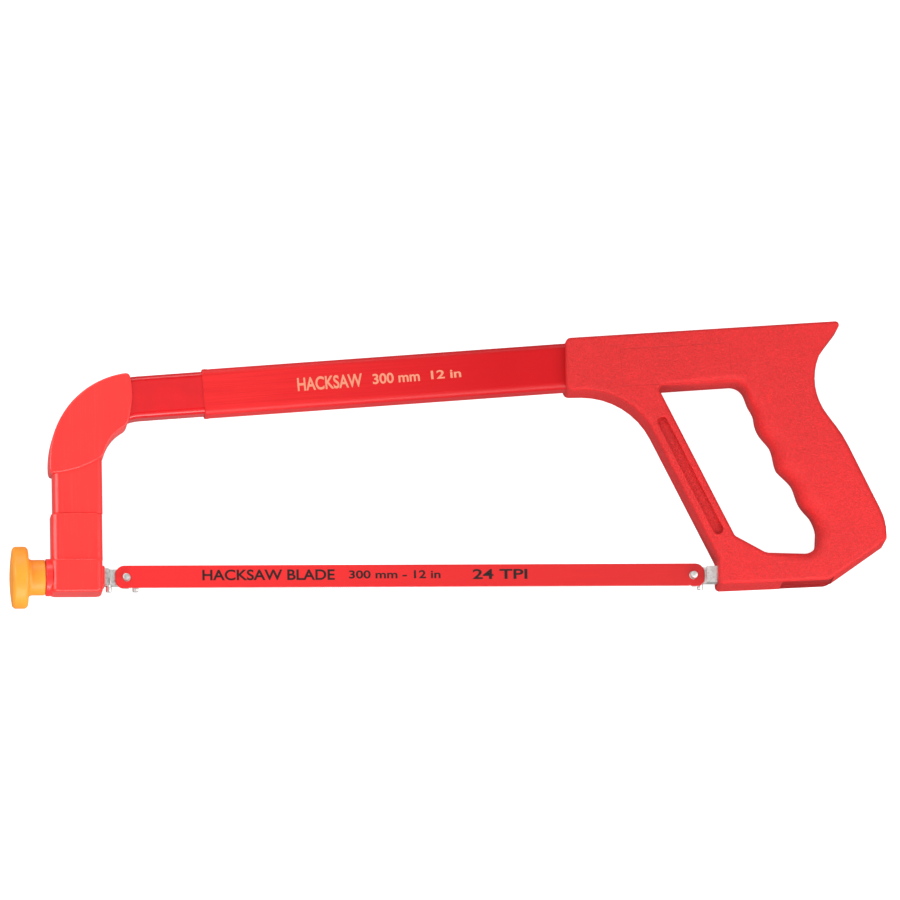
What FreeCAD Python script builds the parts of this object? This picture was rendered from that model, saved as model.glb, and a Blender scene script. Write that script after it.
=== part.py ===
import FreeCAD, Part
import math
import os
import re

import Sketcher
from FreeCAD import Placement, Rotation, Vector

# Insulated hacksaw: a bent rectangular tube as its bow, a pistol-type handle moulded over the
# tube's end, and a 300 mm blade that a knob at the bow's front end pulls tight.
#
# The saw lies on its side. X runs along the blade from the knob to the handle, Y from the blade
# to the top bar, and Z is up, across the saw's thickness. The pieces are drawn in the saw's own
# middle plane, with the origin at the centre of the blade's front hole. Each is then placed so
# that the box round the saw is centred on X = Y = 0 and stands on Z = 0.

doc = FreeCAD.newDocument("Hacksaw")

# --- driving dimensions, in millimetres and degrees ---------------------------------------------

SIZES = [
    # blade
    ("blade_span", 300.0, "between the blade's two holes"),
    ("blade_width", 12.5, "from the back to the tooth tips"),
    ("blade_thick", 0.63, "blade sheet"),
    ("blade_end", 6.0, "from a hole's centre to the blade's end"),
    ("blade_hole", 4.4, "diameter of a blade hole"),
    ("blade_corner", 5.0, "rounding of the blade's corners"),
    # blade holders
    ("shank_size", 8.6, "across the flats of both square shanks"),
    ("pin_size", 3.6, "diameter of a blade pin"),
    ("pin_rise", 3.0, "height of a blade pin above the middle plane"),
    ("pin_slack", 0.05, "gap between a tensioned pin and its hole"),
    ("tongue_gap", 0.02, "between the blade's face and a tongue"),
    ("tongue_reach", 7.6, "from a blade hole to the free end of its tongue"),
    ("step_front", 8.6, "from the front hole to the front holder's shoulder"),
    ("step_rear", 6.9, "from the rear hole to the rear holder's shoulder"),
    ("side_pin_size", 3.2, "diameter of the pins that take the turned blade"),
    ("side_pin_drop", 3.2, "how far such a pin stands out of its tongue"),
    ("side_pin_depth", 2.3, "how deep such a pin sits in its tongue"),
    ("side_pin_front", 4.7, "from the front hole to its side pin, towards the handle"),
    ("side_pin_rear", 3.6, "from the rear hole to its side pin, towards the handle"),
    ("side_pin_sink", 2.55, "from the middle plane down to a side pin's axis"),
    ("stop_pin_at", 9.4, "from the front hole back to the stop pin"),
    # tension screw
    ("screw_inset", 0.3, "how far the draw bolt's thread lies inside the shank's flats"),
    ("screw_slack", 0.05, "radial gap round the thread in its nut"),
    ("draw_travel", 3.75, "how far the holders come loose, three turns of the thread"),
    ("shank_tail", 36.0, "from the front hole to where the square shank ends"),
    ("screw_tail", 57.0, "from the front hole to the end of the thread"),
    ("bush_wall", 0.8, "wall of the square guide bush"),
    ("bush_slack", 0.1, "gap round the square shank in its bush"),
    ("bush_stand", 2.0, "how far the bush stands out of the tube's outer wall"),
    ("washer_thick", 1.6, "thrust washer"),
    ("washer_size", 13.6, "outside diameter of the thrust washer"),
    ("washer_slack", 0.3, "radial gap round the thread in the washer"),
    ("nut_size", 12.6, "outside diameter of the knob's nut"),
    ("nut_length", 14.2, "length of the knob's nut"),
    ("turn_gap", 0.1, "running gap between nut and washer"),
    # knob
    ("knob_size", 32.8, "diameter of the knob's head, on which the saw lies"),
    ("knob_head", 9.6, "length of the knob's head"),
    ("knob_crown", 1.0, "how far the head's end is crowned"),
    ("neck_size", 18.8, "diameter of the knob's neck"),
    ("neck_length", 9.1, "length of the knob's neck"),
    ("knob_round", 1.8, "rounding of the knob's rim"),
    ("knob_floor", 3.2, "solid plastic beyond the screw's room"),
    ("collar_size", 19.7, "diameter of the boot's collar"),
    ("collar_length", 2.5, "how far the collar stands out of the boot"),
    ("collar_gap", 0.2, "between collar and knob"),
    ("bore_gap", 0.3, "radial gap between the collar and what turns in it"),
    # bow
    ("arm_gap", 11.8, "from the front hole back to the boot's lip"),
    ("bend_radius", 36.0, "bend of the bow, on its centre line"),
    ("bend_rise", 59.75, "from the blade's line up to the bend's centre"),
    ("bar_angle", 4.0, "slope of the top bar against the blade"),
    ("tube_width", 20.4, "steel tube, in the saw's plane"),
    ("tube_thick", 12.8, "steel tube, across the saw"),
    ("tube_wall", 1.2, "steel tube's wall"),
    ("coat_wall", 1.1, "insulating coat on the tube"),
    ("tube_inside", 70.0, "how far the tube reaches into the handle"),
    ("arm_foot", 8.0, "from the blade's line down to the tube's end"),
    ("plug_length", 1.2, "plug in each end of the tube"),
    # outer layers of the bow
    ("sleeve_wall", 1.0, "outer sleeve on the top bar"),
    ("sleeve_start", 34.2, "from the bend's end to the outer sleeve"),
    ("sleeve_inside", 20.0, "how far the outer sleeve reaches into the handle"),
    ("arm_wall", 1.4, "arm sleeves, in the saw's plane"),
    ("arm_side", 0.9, "upper arm sleeve, on both flat sides"),
    ("arm_step", 33.0, "from the blade's line to the lower arm sleeve's top"),
    ("lower_back", 2.6, "lower arm sleeve, on its outer side"),
    ("lower_side", 1.5, "lower arm sleeve, on both flat sides"),
    ("boot_top", 7.6, "from the blade's line to the boot's top"),
    ("boot_floor", 1.1, "boot's floor under the tube"),
    ("boot_back", 3.1, "boot's wall on its outer side"),
    ("boot_front", 1.7, "boot's wall on the blade's side"),
    ("boot_side", 2.0, "boot's wall on both flat sides"),
    ("lip_wall", 0.9, "wall of the square lip round the front shank"),
    ("lip_length", 1.2, "how far the lip stands out of the boot"),
    # corner shells
    ("corner_wall", 3.9, "shell outside the bend"),
    ("corner_inner", 2.8, "shell inside the bend"),
    ("corner_side", 2.0, "shell over the bow's flat side"),
    ("corner_middle", 142.4, "direction from the bend's centre to the shells' middle"),
    ("corner_open", 43.8, "half the angle that the shells cover at their outer arc"),
    ("corner_close", 27.6, "half the angle that the shells cover at their inner arc"),
    ("corner_bow", 1.3, "how far the shells' ends bulge"),
    ("corner_round", 0.9, "rounding of the shells' outer edges"),
    ("corner_fit", 0.1, "gap between the shells and what they cover"),
    # handle
    ("handle_thick", 26.0, "thickness of the handle"),
    ("handle_round", 1.8, "rounding of the handle's edges"),
    ("handle_fit", 0.05, "gap round what the handle is moulded over"),
    ("handle_front", 66.5, "from the rear hole back to the handle's front end"),
    ("beam_top", 2.2, "plastic over the bar's sleeve at the handle's front end"),
    ("beam_bottom", 2.0, "plastic under the bar's sleeve"),
    ("rail_back", 12.2, "from the rear hole to the lower rail's front end"),
    ("rail_bottom", 7.0, "from the blade's line down to the rail's lower edge"),
    ("rail_top", 9.9, "from the blade's line up to the rail's upper edge"),
    ("strut_width", 13.4, "width of the handle's front strut"),
    ("grip_back", 102.0, "from the rear hole to the rearmost edge of the grip"),
    ("slot_width", 5.2, "width of the recess in the strut"),
    ("slot_depth", 7.5, "depth of the recess in the strut"),
    ("relief_wall", 1.5, "plastic between the lower rail's pocket and the handle's back face"),
    ("relief_width", 11.5, "width of the pocket under the lower rail"),
    ("relief_length", 23.0, "length of the pocket under the lower rail"),
    ("relief_depth", 5.0, "depth of the pocket under the lower rail"),
    ("relief_at", 47.0, "from the rear hole to the pocket's front end"),
    ("anchor_pin_size", 5.0, "diameter of the pin through handle and tube"),
    ("anchor_pin_inset", 2.0, "plastic over each end of that pin"),
    ("anchor_pin_at", 40.0, "from the handle's front end to that pin"),
    # rear anchor
    ("socket_gap", 0.7, "between the rear shank and its socket in the rail"),
    ("anchor_at", 20.0, "from the rear hole to the anchor plate"),
    ("anchor_thick", 5.0, "anchor plate, along the pull"),
    ("anchor_wall", 1.0, "anchor plate, above and below its hole"),
    ("anchor_width", 19.0, "anchor plate, across the saw"),
    ("anchor_fit", 0.1, "gap round the rear shank in its anchor"),
    ("lock_pin_size", 3.0, "diameter of the rear shank's cross pin"),
    ("lock_pin_length", 14.0, "length of the rear shank's cross pin"),
    ("shank_over", 2.0, "rear shank's length behind its cross pin"),
    ("room_gap", 0.4, "free room round the cross pin, and behind the shank"),
]
ALIASES = {alias for alias, value, note in SIZES}

sheet = doc.addObject("Spreadsheet::Sheet", "dims")
for row, (alias, value, note) in enumerate(SIZES, start=1):
    sheet.set(f"A{row}", note)
    sheet.set(f"B{row}", str(value))
    sheet.setAlias(f"B{row}", alias)
doc.recompute()


def size(alias):
    """The value of a driving dimension, read from the sheet."""
    return float(getattr(sheet, alias))


def bind(thing, prop, formula):
    """Ties a property to the sheet: each alias in the formula is read from its cell."""
    def cell(match):
        word = match.group()
        return f"dims.{word}" if word in ALIASES else word
    thing.setExpression(prop, re.sub(r"[a-z_]+", cell, formula))


# --- places along the saw, as formulas for the sheet -----------------------------------------------

COAT_EDGE = "(tube_width / 2 + coat_wall)"
COAT_FACE = "(tube_thick / 2 + coat_wall)"
ARM_BACK = f"(arm_gap + lip_length + boot_front + {COAT_EDGE})"
BOOT_LEFT = f"(-{ARM_BACK} - {COAT_EDGE} - boot_back)"
BOOT_RIGHT = "(-arm_gap - lip_length)"
BUSH_LEFT = f"(-{ARM_BACK} - tube_width / 2 - bush_stand)"
BUSH_RIGHT = "(-arm_gap - lip_length - boot_front)"
BUSH_HALF = "(shank_size / 2 + bush_slack + bush_wall)"
NUT_RIGHT = f"({BUSH_LEFT} - washer_thick - turn_gap)"
KNOB_RIGHT = f"({BOOT_LEFT} - collar_length - collar_gap)"
KNOB_LEFT = f"({KNOB_RIGHT} - neck_length - knob_head)"
TONGUE_TOP = "(-blade_thick / 2 - tongue_gap)"
SCREW_RADIUS = "(shank_size / 2 - screw_inset)"
PIN_SHIFT = "((blade_hole - pin_size) / 2 - pin_slack)"
ANCHOR_X = "(blade_span + anchor_at)"
LOCK_X = f"({ANCHOR_X} + anchor_thick + lock_pin_size / 2)"
SHANK_END = f"({LOCK_X} + lock_pin_size / 2 + shank_over)"

# The horn is the handle's highest point. Its corner stands this far from the rear hole along X and
# this far above the sleeve on the bar, and the corner's rounding takes the last bit off its top.
HORN_OUT = 78.8
HORN_RISE = 0.8
HORN_ROUND = 3.0
HORN_LOSS = 0.33
HORN_TOP = (
    "(bend_rise + bend_radius / cos(bar_angle * 1 deg)"
    f" + (blade_span + {HORN_OUT} + {ARM_BACK} - bend_radius) * tan(bar_angle * 1 deg)"
    f" + {COAT_EDGE} + sleeve_wall + {HORN_RISE} - {HORN_LOSS})"
)


def locate(thing, x, y, z, axis=None, degrees="90"):
    """Holds a piece at a place that the sheet gives, turned about an axis if one is named."""
    if axis is not None:
        thing.Placement = Placement(Vector(), Rotation(axis, 1.0))
        bind(thing, "Placement.Rotation.Angle", degrees)
    bind(thing, "Placement.Base.x", x)
    bind(thing, "Placement.Base.y", y)
    bind(thing, "Placement.Base.z", z)


def place(thing, x="0", y="0", z="0", axis=None, degrees="90"):
    """Locates a finished piece, moved from the saw's own frame to the frame it lies in."""
    locate(
        thing,
        f"{x} - ({KNOB_LEFT} + blade_span + grip_back) / 2",
        f"{y} - ({HORN_TOP} - knob_size / 2) / 2",
        f"{z} + knob_size / 2",
        axis,
        degrees,
    )


# --- small builders --------------------------------------------------------------------------------

X_AXIS = Vector(1, 0, 0)
Y_AXIS = Vector(0, 1, 0)
Z_AXIS = Vector(0, 0, 1)
subparts = []


def subpart(thing, label):
    thing.Label = label
    subparts.append(thing)
    return thing


def origin_plane(of_body, role):
    return next(feature for feature in of_body.Origin.OriginFeatures if feature.Role == role)


def new_sketch(of_body, role, name):
    sketch = of_body.newObject("Sketcher::SketchObject", name)
    sketch.AttachmentSupport = [(origin_plane(of_body, role), "")]
    sketch.MapMode = "FlatFace"
    return sketch


def outline_sketch(of_body, role, name, outlines):
    """A sketch of closed polygons, each corner held at x and y formulas from the origin."""
    sketch = new_sketch(of_body, role, name)
    held = []
    first = 0
    for corners in outlines:
        count = len(corners)
        turn = 2 * math.pi / count
        ring = [Vector(math.cos(turn * i), math.sin(turn * i), 0) for i in range(count)]
        for i in range(count):
            sketch.addGeometry(Part.LineSegment(ring[i], ring[(i + 1) % count]), False)
        for i in range(count):
            here = first + i
            after = first + (i + 1) % count
            sketch.addConstraint(Sketcher.Constraint("Coincident", here, 2, after, 1))
            for kind, at, formula in zip(("DistanceX", "DistanceY"), ring[i][:2], corners[i]):
                number = sketch.addConstraint(Sketcher.Constraint(kind, -1, 1, here, 1, at))
                held.append((number, formula))
        first += count
    for number, formula in held:
        bind(sketch, f"Constraints[{number}]", formula)
    doc.recompute()
    return sketch


def circle_sketch(of_body, role, name, x, diameter):
    """A sketch of one circle with its centre on the sketch's own X axis."""
    sketch = new_sketch(of_body, role, name)
    sketch.addGeometry(Part.Circle(Vector(1, 0, 0), Vector(0, 0, 1), 2.0), False)
    sketch.addConstraint(Sketcher.Constraint("DistanceY", -1, 1, 0, 3, 0.0))
    across = sketch.addConstraint(Sketcher.Constraint("DistanceX", -1, 1, 0, 3, 1.0))
    radius = sketch.addConstraint(Sketcher.Constraint("Radius", 0, 2.0))
    bind(sketch, f"Constraints[{across}]", x)
    bind(sketch, f"Constraints[{radius}]", f"({diameter}) / 2")
    doc.recompute()
    return sketch


def rectangle(x_low, x_high, y_low, y_high):
    return [(x_low, y_low), (x_high, y_low), (x_high, y_high), (x_low, y_high)]


def centred(half_width, half_height):
    return rectangle(f"-{half_width}", half_width, f"-{half_height}", half_height)


def bar_body(label, role, outlines, length):
    """A body of constant section, as long as the formula says, centred on its sketch's plane."""
    body = doc.addObject("PartDesign::Body", "Body_" + label)
    sketch = outline_sketch(body, role, "Section_" + label, outlines)
    pad = body.newObject("PartDesign::Pad", "Pad_" + label)
    pad.Profile = sketch
    bind(pad, "Length", length)
    pad.Midplane = True
    doc.recompute()
    return subpart(body, label)


def through_pocket(body, sketch, name, length):
    """Cuts a sketch out of the body, half the length on each side of its plane."""
    before = body.Shape.Volume
    pocket = body.newObject("PartDesign::Pocket", name)
    pocket.Profile = sketch
    bind(pocket, "Length", length)
    pocket.Midplane = True
    doc.recompute()
    if body.Shape.Volume > before - 0.01:
        raise RuntimeError(f"{name} cuts nothing")
    return pocket


def round_edges(body, edge_names, radius):
    """Fillets named edges of the body's last feature."""
    last = body.Tip
    rounding = body.newObject("PartDesign::Fillet", "Rounding_" + body.Label)
    rounding.Base = (last, edge_names)
    bind(rounding, "Radius", radius)
    doc.recompute()


def box(name, x_low, x_high, y_low, y_high, z_low, z_high):
    block = doc.addObject("Part::Box", name)
    bind(block, "Length", f"({x_high}) - ({x_low})")
    bind(block, "Width", f"({y_high}) - ({y_low})")
    bind(block, "Height", f"({z_high}) - ({z_low})")
    locate(block, x_low, y_low, z_low)
    return block


def rod(name, diameter, length, x, y, z, axis=None, degrees="90"):
    """A cylinder along +Z, or turned about an axis."""
    bar = doc.addObject("Part::Cylinder", name)
    bind(bar, "Radius", f"({diameter}) / 2")
    bind(bar, "Height", length)
    locate(bar, x, y, z, axis, degrees)
    return bar


def fused_less(label, solids, tools):
    """The union of some solids less some tools, as one placed sub-part."""
    union = doc.addObject("Part::MultiFuse", "Union_" + label)
    union.Shapes = solids
    holes = doc.addObject("Part::MultiFuse", "Holes_" + label)
    holes.Shapes = tools
    result = doc.addObject("Part::Cut", "Cut_" + label)
    result.Base = union
    result.Tool = holes
    place(result)
    return subpart(result, label)


def pin(label, diameter, length, x, y, z, axis=None, degrees="90"):
    """A plain steel pin, placed in the frame that the saw lies in."""
    bar = rod("Pin_" + label, diameter, length, x, y, z)
    place(bar, x, y, z, axis, degrees)
    return subpart(bar, label)


def shape_part(label, shape):
    """A piece whose shape is made with Part's own functions, in the saw's own frame."""
    thing = doc.addObject("Part::Feature", "Shape_" + label)
    thing.Shape = shape
    place(thing)
    return subpart(thing, label)


# --- geometry that several pieces share --------------------------------------------------------------

SLOPE = math.radians(size("bar_angle"))
ACROSS = Vector(-math.sin(SLOPE), math.cos(SLOPE), 0)
COAT_HALF = size("tube_width") / 2 + size("coat_wall")
COAT_SIDE = size("tube_thick") / 2 + size("coat_wall")
ARM_X = -(size("arm_gap") + size("lip_length") + size("boot_front") + COAT_HALF)
REAR_X = size("blade_span")
BEND = Vector(ARM_X + size("bend_radius"), size("bend_rise"), 0)
BAR_START = BEND + ACROSS * size("bend_radius")
SLEEVE_HALF = COAT_HALF + size("sleeve_wall")
SLEEVE_SIDE = COAT_SIDE + size("sleeve_wall")
HANDLE_X = REAR_X - size("handle_front")
CUT_OVER = 1.0


def bar_y(x):
    """Height of the top bar's centre line over the point x on the blade's line."""
    return BAR_START.y + (x - BAR_START.x) * math.tan(SLOPE)


def bar_run(x):
    """Distance along the bar from the bend's end to the point over x."""
    return (x - BAR_START.x) / math.cos(SLOPE)


TUBE_END = bar_run(HANDLE_X) + size("tube_inside")


def block(x_low, x_high, y_low, y_high, half_thick):
    """A box that the middle plane halves."""
    corner = Vector(x_low, y_low, -half_thick)
    return Part.makeBox(x_high - x_low, y_high - y_low, 2 * half_thick, corner)


def along_bar(start, end, half_width, half_thick):
    """A box on the top bar's centre line, from one run to another."""
    bar = block(start, end, -half_width, half_width, half_thick)
    bar.Placement = Placement(BAR_START, Rotation(Z_AXIS, size("bar_angle")))
    return bar


def bow(half_width, half_thick, bar_end, foot):
    """The solid bow for one layer: top bar, bend and arm, with a rectangular section."""
    bar = along_bar(0, bar_end, half_width, half_thick)
    arm = block(ARM_X - half_width, ARM_X + half_width, -foot, BEND.y, half_thick)
    ring = Part.makeCylinder(size("bend_radius") + half_width, 2 * half_thick)
    ring = ring.cut(Part.makeCylinder(size("bend_radius") - half_width, 2 * half_thick))
    ring.translate(Vector(BEND.x, BEND.y, -half_thick))
    far = 3 * size("bend_radius")
    reach = Vector(-far, 0, 0)
    wedge = Part.Face(Part.makePolygon([
        BEND,
        BEND + reach,
        BEND + reach + ACROSS * far,
        BEND + ACROSS * far,
        BEND,
    ]))
    wedge.translate(Vector(0, 0, -half_thick))
    bend = ring.common(wedge.extrude(Vector(0, 0, 2 * half_thick)))
    return bar.fuse([bend, arm]).removeSplitter()


def rounded_outline(corners):
    """A closed wire through corners (x, y, radius), each an arc that its two sides touch."""
    count = len(corners)
    arcs = []
    for i in range(count):
        before = Vector(*corners[i - 1][:2], 0)
        here = Vector(*corners[i][:2], 0)
        after = Vector(*corners[(i + 1) % count][:2], 0)
        radius = corners[i][2]
        to_before = (before - here).normalize()
        to_after = (after - here).normalize()
        half_angle = to_before.getAngle(to_after) / 2
        reach = radius / math.tan(half_angle)
        middle = (to_before + to_after).normalize() * (radius / math.sin(half_angle) - radius)
        arcs.append(Part.Arc(here + to_before * reach, here + middle, here + to_after * reach))
    edges = []
    for i in range(count):
        edges.append(arcs[i].toShape())
        edges.append(Part.LineSegment(arcs[i].EndPoint, arcs[(i + 1) % count].StartPoint).toShape())
    return Part.Wire(edges)


def plate(wire, low, high):
    """A flat outline extruded from one height to another."""
    face = Part.Face(wire)
    face.translate(Vector(0, 0, low))
    return face.extrude(Vector(0, 0, high - low))


def rim_edges(shape, *heights):
    """The edges that lie in the planes of the given heights."""
    return [
        edge for edge in shape.Edges
        for height in heights
        if abs(edge.BoundBox.ZMin - height) < 1e-6 and abs(edge.BoundBox.ZMax - height) < 1e-6
    ]


# --- the bow: steel tube, its coat and its end plugs -----------------------------------------------------

def bush_hole():
    """The square way through the arm that the guide bush fills."""
    half = size("shank_size") / 2 + size("bush_slack") + size("bush_wall")
    left = ARM_X - COAT_HALF - CUT_OVER
    right = ARM_X + COAT_HALF + CUT_OVER
    return block(left, right, -half, half, half)


def anchor_pin_hole():
    """The round way through tube, coat and handle for the pin that holds them together."""
    x = HANDLE_X + size("anchor_pin_at")
    half = size("handle_thick") / 2 - size("anchor_pin_inset")
    return Part.makeCylinder(size("anchor_pin_size") / 2, 2 * half, Vector(x, bar_y(x), -half))


tube_half = size("tube_width") / 2
tube_side = size("tube_thick") / 2
tube_outside = bow(tube_half, tube_side, TUBE_END, size("arm_foot"))
tube_inside = bow(
    tube_half - size("tube_wall"),
    tube_side - size("tube_wall"),
    TUBE_END + CUT_OVER,
    size("arm_foot") + CUT_OVER,
)
shape_part("bow_tube", tube_outside.cut([tube_inside, bush_hole(), anchor_pin_hole()]))

coat = bow(COAT_HALF, COAT_SIDE, TUBE_END, size("arm_foot"))
tube_room = bow(tube_half, tube_side, TUBE_END + CUT_OVER, size("arm_foot") + CUT_OVER)
shape_part("bow_coating", coat.cut([tube_room, bush_hole(), anchor_pin_hole()]))

PLUG = centred("(tube_width / 2 - tube_wall)", "(tube_thick / 2 - tube_wall)")
arm_plug = bar_body("arm_end_plug", "XZ_Plane", [PLUG], "plug_length")
place(arm_plug, f"-{ARM_BACK}", "-arm_foot + plug_length / 2")

bar_plug = bar_body("bar_end_plug", "YZ_Plane", [PLUG], "plug_length")
BAR_START_X = f"(bend_radius - {ARM_BACK} - bend_radius * sin(bar_angle * 1 deg))"
BAR_START_Y = "(bend_rise + bend_radius * cos(bar_angle * 1 deg))"
HANDLE_RUN = f"((blade_span - handle_front - {BAR_START_X}) / cos(bar_angle * 1 deg))"


def place_on_bar(thing, run):
    """Places a piece on the top bar's centre line, at a distance from the bend's end."""
    place(
        thing,
        f"{BAR_START_X} + {run} * cos(bar_angle * 1 deg)",
        f"{BAR_START_Y} + {run} * sin(bar_angle * 1 deg)",
        axis=Z_AXIS,
        degrees="bar_angle",
    )


place_on_bar(bar_plug, f"({HANDLE_RUN} + tube_inside - plug_length / 2)")

# --- outer layers of the bow ----------------------------------------------------------------------------

SLEEVE_LENGTH = f"({HANDLE_RUN} + sleeve_inside - sleeve_start)"
sleeve = bar_body(
    "top_sleeve",
    "YZ_Plane",
    [
        centred(f"({COAT_EDGE} + sleeve_wall)", f"({COAT_FACE} + sleeve_wall)"),
        centred(COAT_EDGE, COAT_FACE),
    ],
    SLEEVE_LENGTH,
)
place_on_bar(sleeve, f"(sleeve_start + {SLEEVE_LENGTH} / 2)")


def arm_layer(label, back, front, side, low, high):
    """A sleeve on the arm, between two heights, with its own walls back, front and sides."""
    outer = rectangle(
        f"-{COAT_EDGE} - {back}",
        f"{COAT_EDGE} + {front}",
        f"-{COAT_FACE} - {side}",
        f"{COAT_FACE} + {side}",
    )
    body = bar_body(label, "XZ_Plane", [outer, centred(COAT_EDGE, COAT_FACE)], f"{high} - {low}")
    place(body, f"-{ARM_BACK}", f"({high} + {low}) / 2")


arm_layer("arm_sleeve", "arm_wall", "arm_wall", "arm_side", "arm_step", "bend_rise")
arm_layer("arm_sleeve_lower", "lower_back", "arm_wall", "lower_side", "boot_top", "arm_step")


def corner_wire():
    """Outline of the shells round the bend: two arcs about the bend's centre, two bulging ends."""
    outer_radius = size("bend_radius") + COAT_HALF + size("corner_wall")
    inner_radius = size("bend_radius") - COAT_HALF - size("corner_inner")

    def at(radius, offset):
        angle = math.radians(size("corner_middle") + offset)
        return BEND + Vector(math.cos(angle), math.sin(angle), 0) * radius

    def arc(radius, half_angle):
        return Part.Arc(at(radius, -half_angle), at(radius, 0), at(radius, half_angle))

    def end(start, finish, outward):
        middle = (start + finish) / 2 + outward * size("corner_bow")
        return Part.Arc(start, middle, finish)

    outer = arc(outer_radius, size("corner_open"))
    inner = arc(inner_radius, size("corner_close"))
    lower_way = (inner.EndPoint - outer.EndPoint).normalize()
    upper_way = (inner.StartPoint - outer.StartPoint).normalize()
    lower_end = end(outer.EndPoint, inner.EndPoint, lower_way.cross(Z_AXIS))
    upper_end = end(outer.StartPoint, inner.StartPoint, Z_AXIS.cross(upper_way))
    return Part.Wire([piece.toShape() for piece in (outer, lower_end, inner, upper_end)])


def corner_shell(label, sign):
    """One half of the cover round the bend, on the side of the middle plane that sign gives."""
    top = sign * (COAT_SIDE + size("corner_side"))
    shell = plate(corner_wire(), 0, top)
    shell = shell.makeFillet(size("corner_round"), rim_edges(shell, top))
    fit = size("corner_fit")
    coat_room = bow(COAT_HALF + fit, COAT_SIDE + fit, TUBE_END, size("arm_foot"))
    arm_half = COAT_HALF + size("arm_wall") + fit
    arm_room = block(
        ARM_X - arm_half,
        ARM_X + arm_half,
        size("arm_step"),
        size("bend_rise") + fit,
        COAT_SIDE + size("arm_side") + fit,
    )
    shape_part(label, shell.cut([coat_room, arm_room]))


corner_shell("corner_shell_upper", 1)
corner_shell("corner_shell_lower", -1)

# --- boot, guide bush and thrust washer ---------------------------------------------------------------------

BOOT_ROOM_HALF = "(washer_size / 2 + bore_gap)"
fused_less(
    "nose_boot",
    [
        box(
            "Boot_block", BOOT_LEFT, BOOT_RIGHT, "-arm_foot - boot_floor", "boot_top",
            f"-{COAT_FACE} - boot_side", f"{COAT_FACE} + boot_side",
        ),
        rod(
            "Boot_collar", "collar_size", "collar_length", f"{BOOT_LEFT} - collar_length", "0", "0",
            Y_AXIS,
        ),
        box(
            "Boot_lip", BOOT_RIGHT, f"{BOOT_RIGHT} + lip_length",
            "-shank_size / 2 - bore_gap - lip_wall", "shank_size / 2 + bore_gap + lip_wall",
            "-shank_size / 2 - bore_gap - lip_wall", "shank_size / 2 + bore_gap + lip_wall",
        ),
    ],
    [
        box(
            "Boot_arm_room", f"-{ARM_BACK} - {COAT_EDGE}", BUSH_RIGHT,
            "-arm_foot", "boot_top + 1", f"-{COAT_FACE}", COAT_FACE,
        ),
        rod(
            "Boot_bore", f"2 * {BOOT_ROOM_HALF}", "collar_length + boot_back + tube_width / 2",
            f"{BOOT_LEFT} - collar_length - 1", "0", "0", Y_AXIS,
        ),
        box(
            "Boot_bush_room", BUSH_LEFT, BUSH_RIGHT, f"-{BUSH_HALF}", BUSH_HALF,
            f"-{BUSH_HALF}", BUSH_HALF,
        ),
        box(
            "Boot_shank_room", f"-{ARM_BACK}", f"{BOOT_RIGHT} + lip_length + 1",
            "-shank_size / 2 - bore_gap", "shank_size / 2 + bore_gap",
            "-shank_size / 2 - bore_gap", "shank_size / 2 + bore_gap",
        ),
    ],
)

BUSH_ROOM = "(shank_size / 2 + bush_slack)"
bush = bar_body(
    "guide_bush",
    "YZ_Plane",
    [centred(BUSH_HALF, BUSH_HALF), centred(BUSH_ROOM, BUSH_ROOM)],
    f"{BUSH_RIGHT} - {BUSH_LEFT}",
)
place(bush, f"({BUSH_LEFT} + {BUSH_RIGHT}) / 2")


def turned_body(label, profile):
    """A body turned about the X axis from a profile of (x, radius) formulas."""
    body = doc.addObject("PartDesign::Body", "Body_" + label)
    sketch = outline_sketch(body, "XY_Plane", "Profile_" + label, [profile])
    turned = body.newObject("PartDesign::Revolution", "Turned_" + label)
    turned.Profile = sketch
    turned.ReferenceAxis = (sketch, ["H_Axis"])
    turned.Angle = 360.0
    doc.recompute()
    return subpart(body, label)


washer = turned_body(
    "thrust_washer",
    rectangle("0", "washer_thick", f"{SCREW_RADIUS} + washer_slack", "washer_size / 2"),
)
place(washer, f"{BUSH_LEFT} - washer_thick")

# --- knob and its nut ------------------------------------------------------------------------------------------

nut = turned_body(
    "knob_nut",
    rectangle("-nut_length", "0", f"{SCREW_RADIUS} + screw_slack", "nut_size / 2"),
)
place(nut, NUT_RIGHT)

NUT_LEFT = f"({NUT_RIGHT} - nut_length - {KNOB_LEFT})"
KNOB_LENGTH = "(knob_head + neck_length)"
knob = turned_body("knob", [
    ("0", "0"),
    ("knob_floor", "0"),
    ("knob_floor", f"{SCREW_RADIUS} + washer_slack"),
    (NUT_LEFT, f"{SCREW_RADIUS} + washer_slack"),
    (NUT_LEFT, "nut_size / 2"),
    (KNOB_LENGTH, "nut_size / 2"),
    (KNOB_LENGTH, "neck_size / 2"),
    ("knob_head", "neck_size / 2"),
    ("knob_head", "knob_size / 2"),
    ("knob_crown", "knob_size / 2"),
])
rim = [
    f"Edge{number}" for number, edge in enumerate(knob.Shape.Edges, start=1)
    if isinstance(edge.Curve, Part.Circle) and abs(edge.Curve.Radius - size("knob_size") / 2) < 1e-6
]
round_edges(knob, rim, "knob_round")
place(knob, KNOB_LEFT)

# --- blade ---------------------------------------------------------------------------------------------------------

blade = bar_body(
    "blade",
    "XY_Plane",
    [rectangle("-blade_end", "blade_span + blade_end", "-blade_width / 2", "blade_width / 2")],
    "blade_thick",
)
corners = [
    f"Edge{number}" for number, edge in enumerate(blade.Shape.Edges, start=1)
    if abs(edge.Length - size("blade_thick")) < 1e-6
]
round_edges(blade, corners, "blade_corner")
for end_name, hole_x in (("front", "0"), ("rear", "blade_span")):
    hole = circle_sketch(blade, "XY_Plane", f"Hole_{end_name}", hole_x, "blade_hole")
    through_pocket(blade, hole, f"Pocket_{end_name}", "2 * blade_thick")
place(blade)

# --- blade holders and their pins --------------------------------------------------------------------------------------

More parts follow.
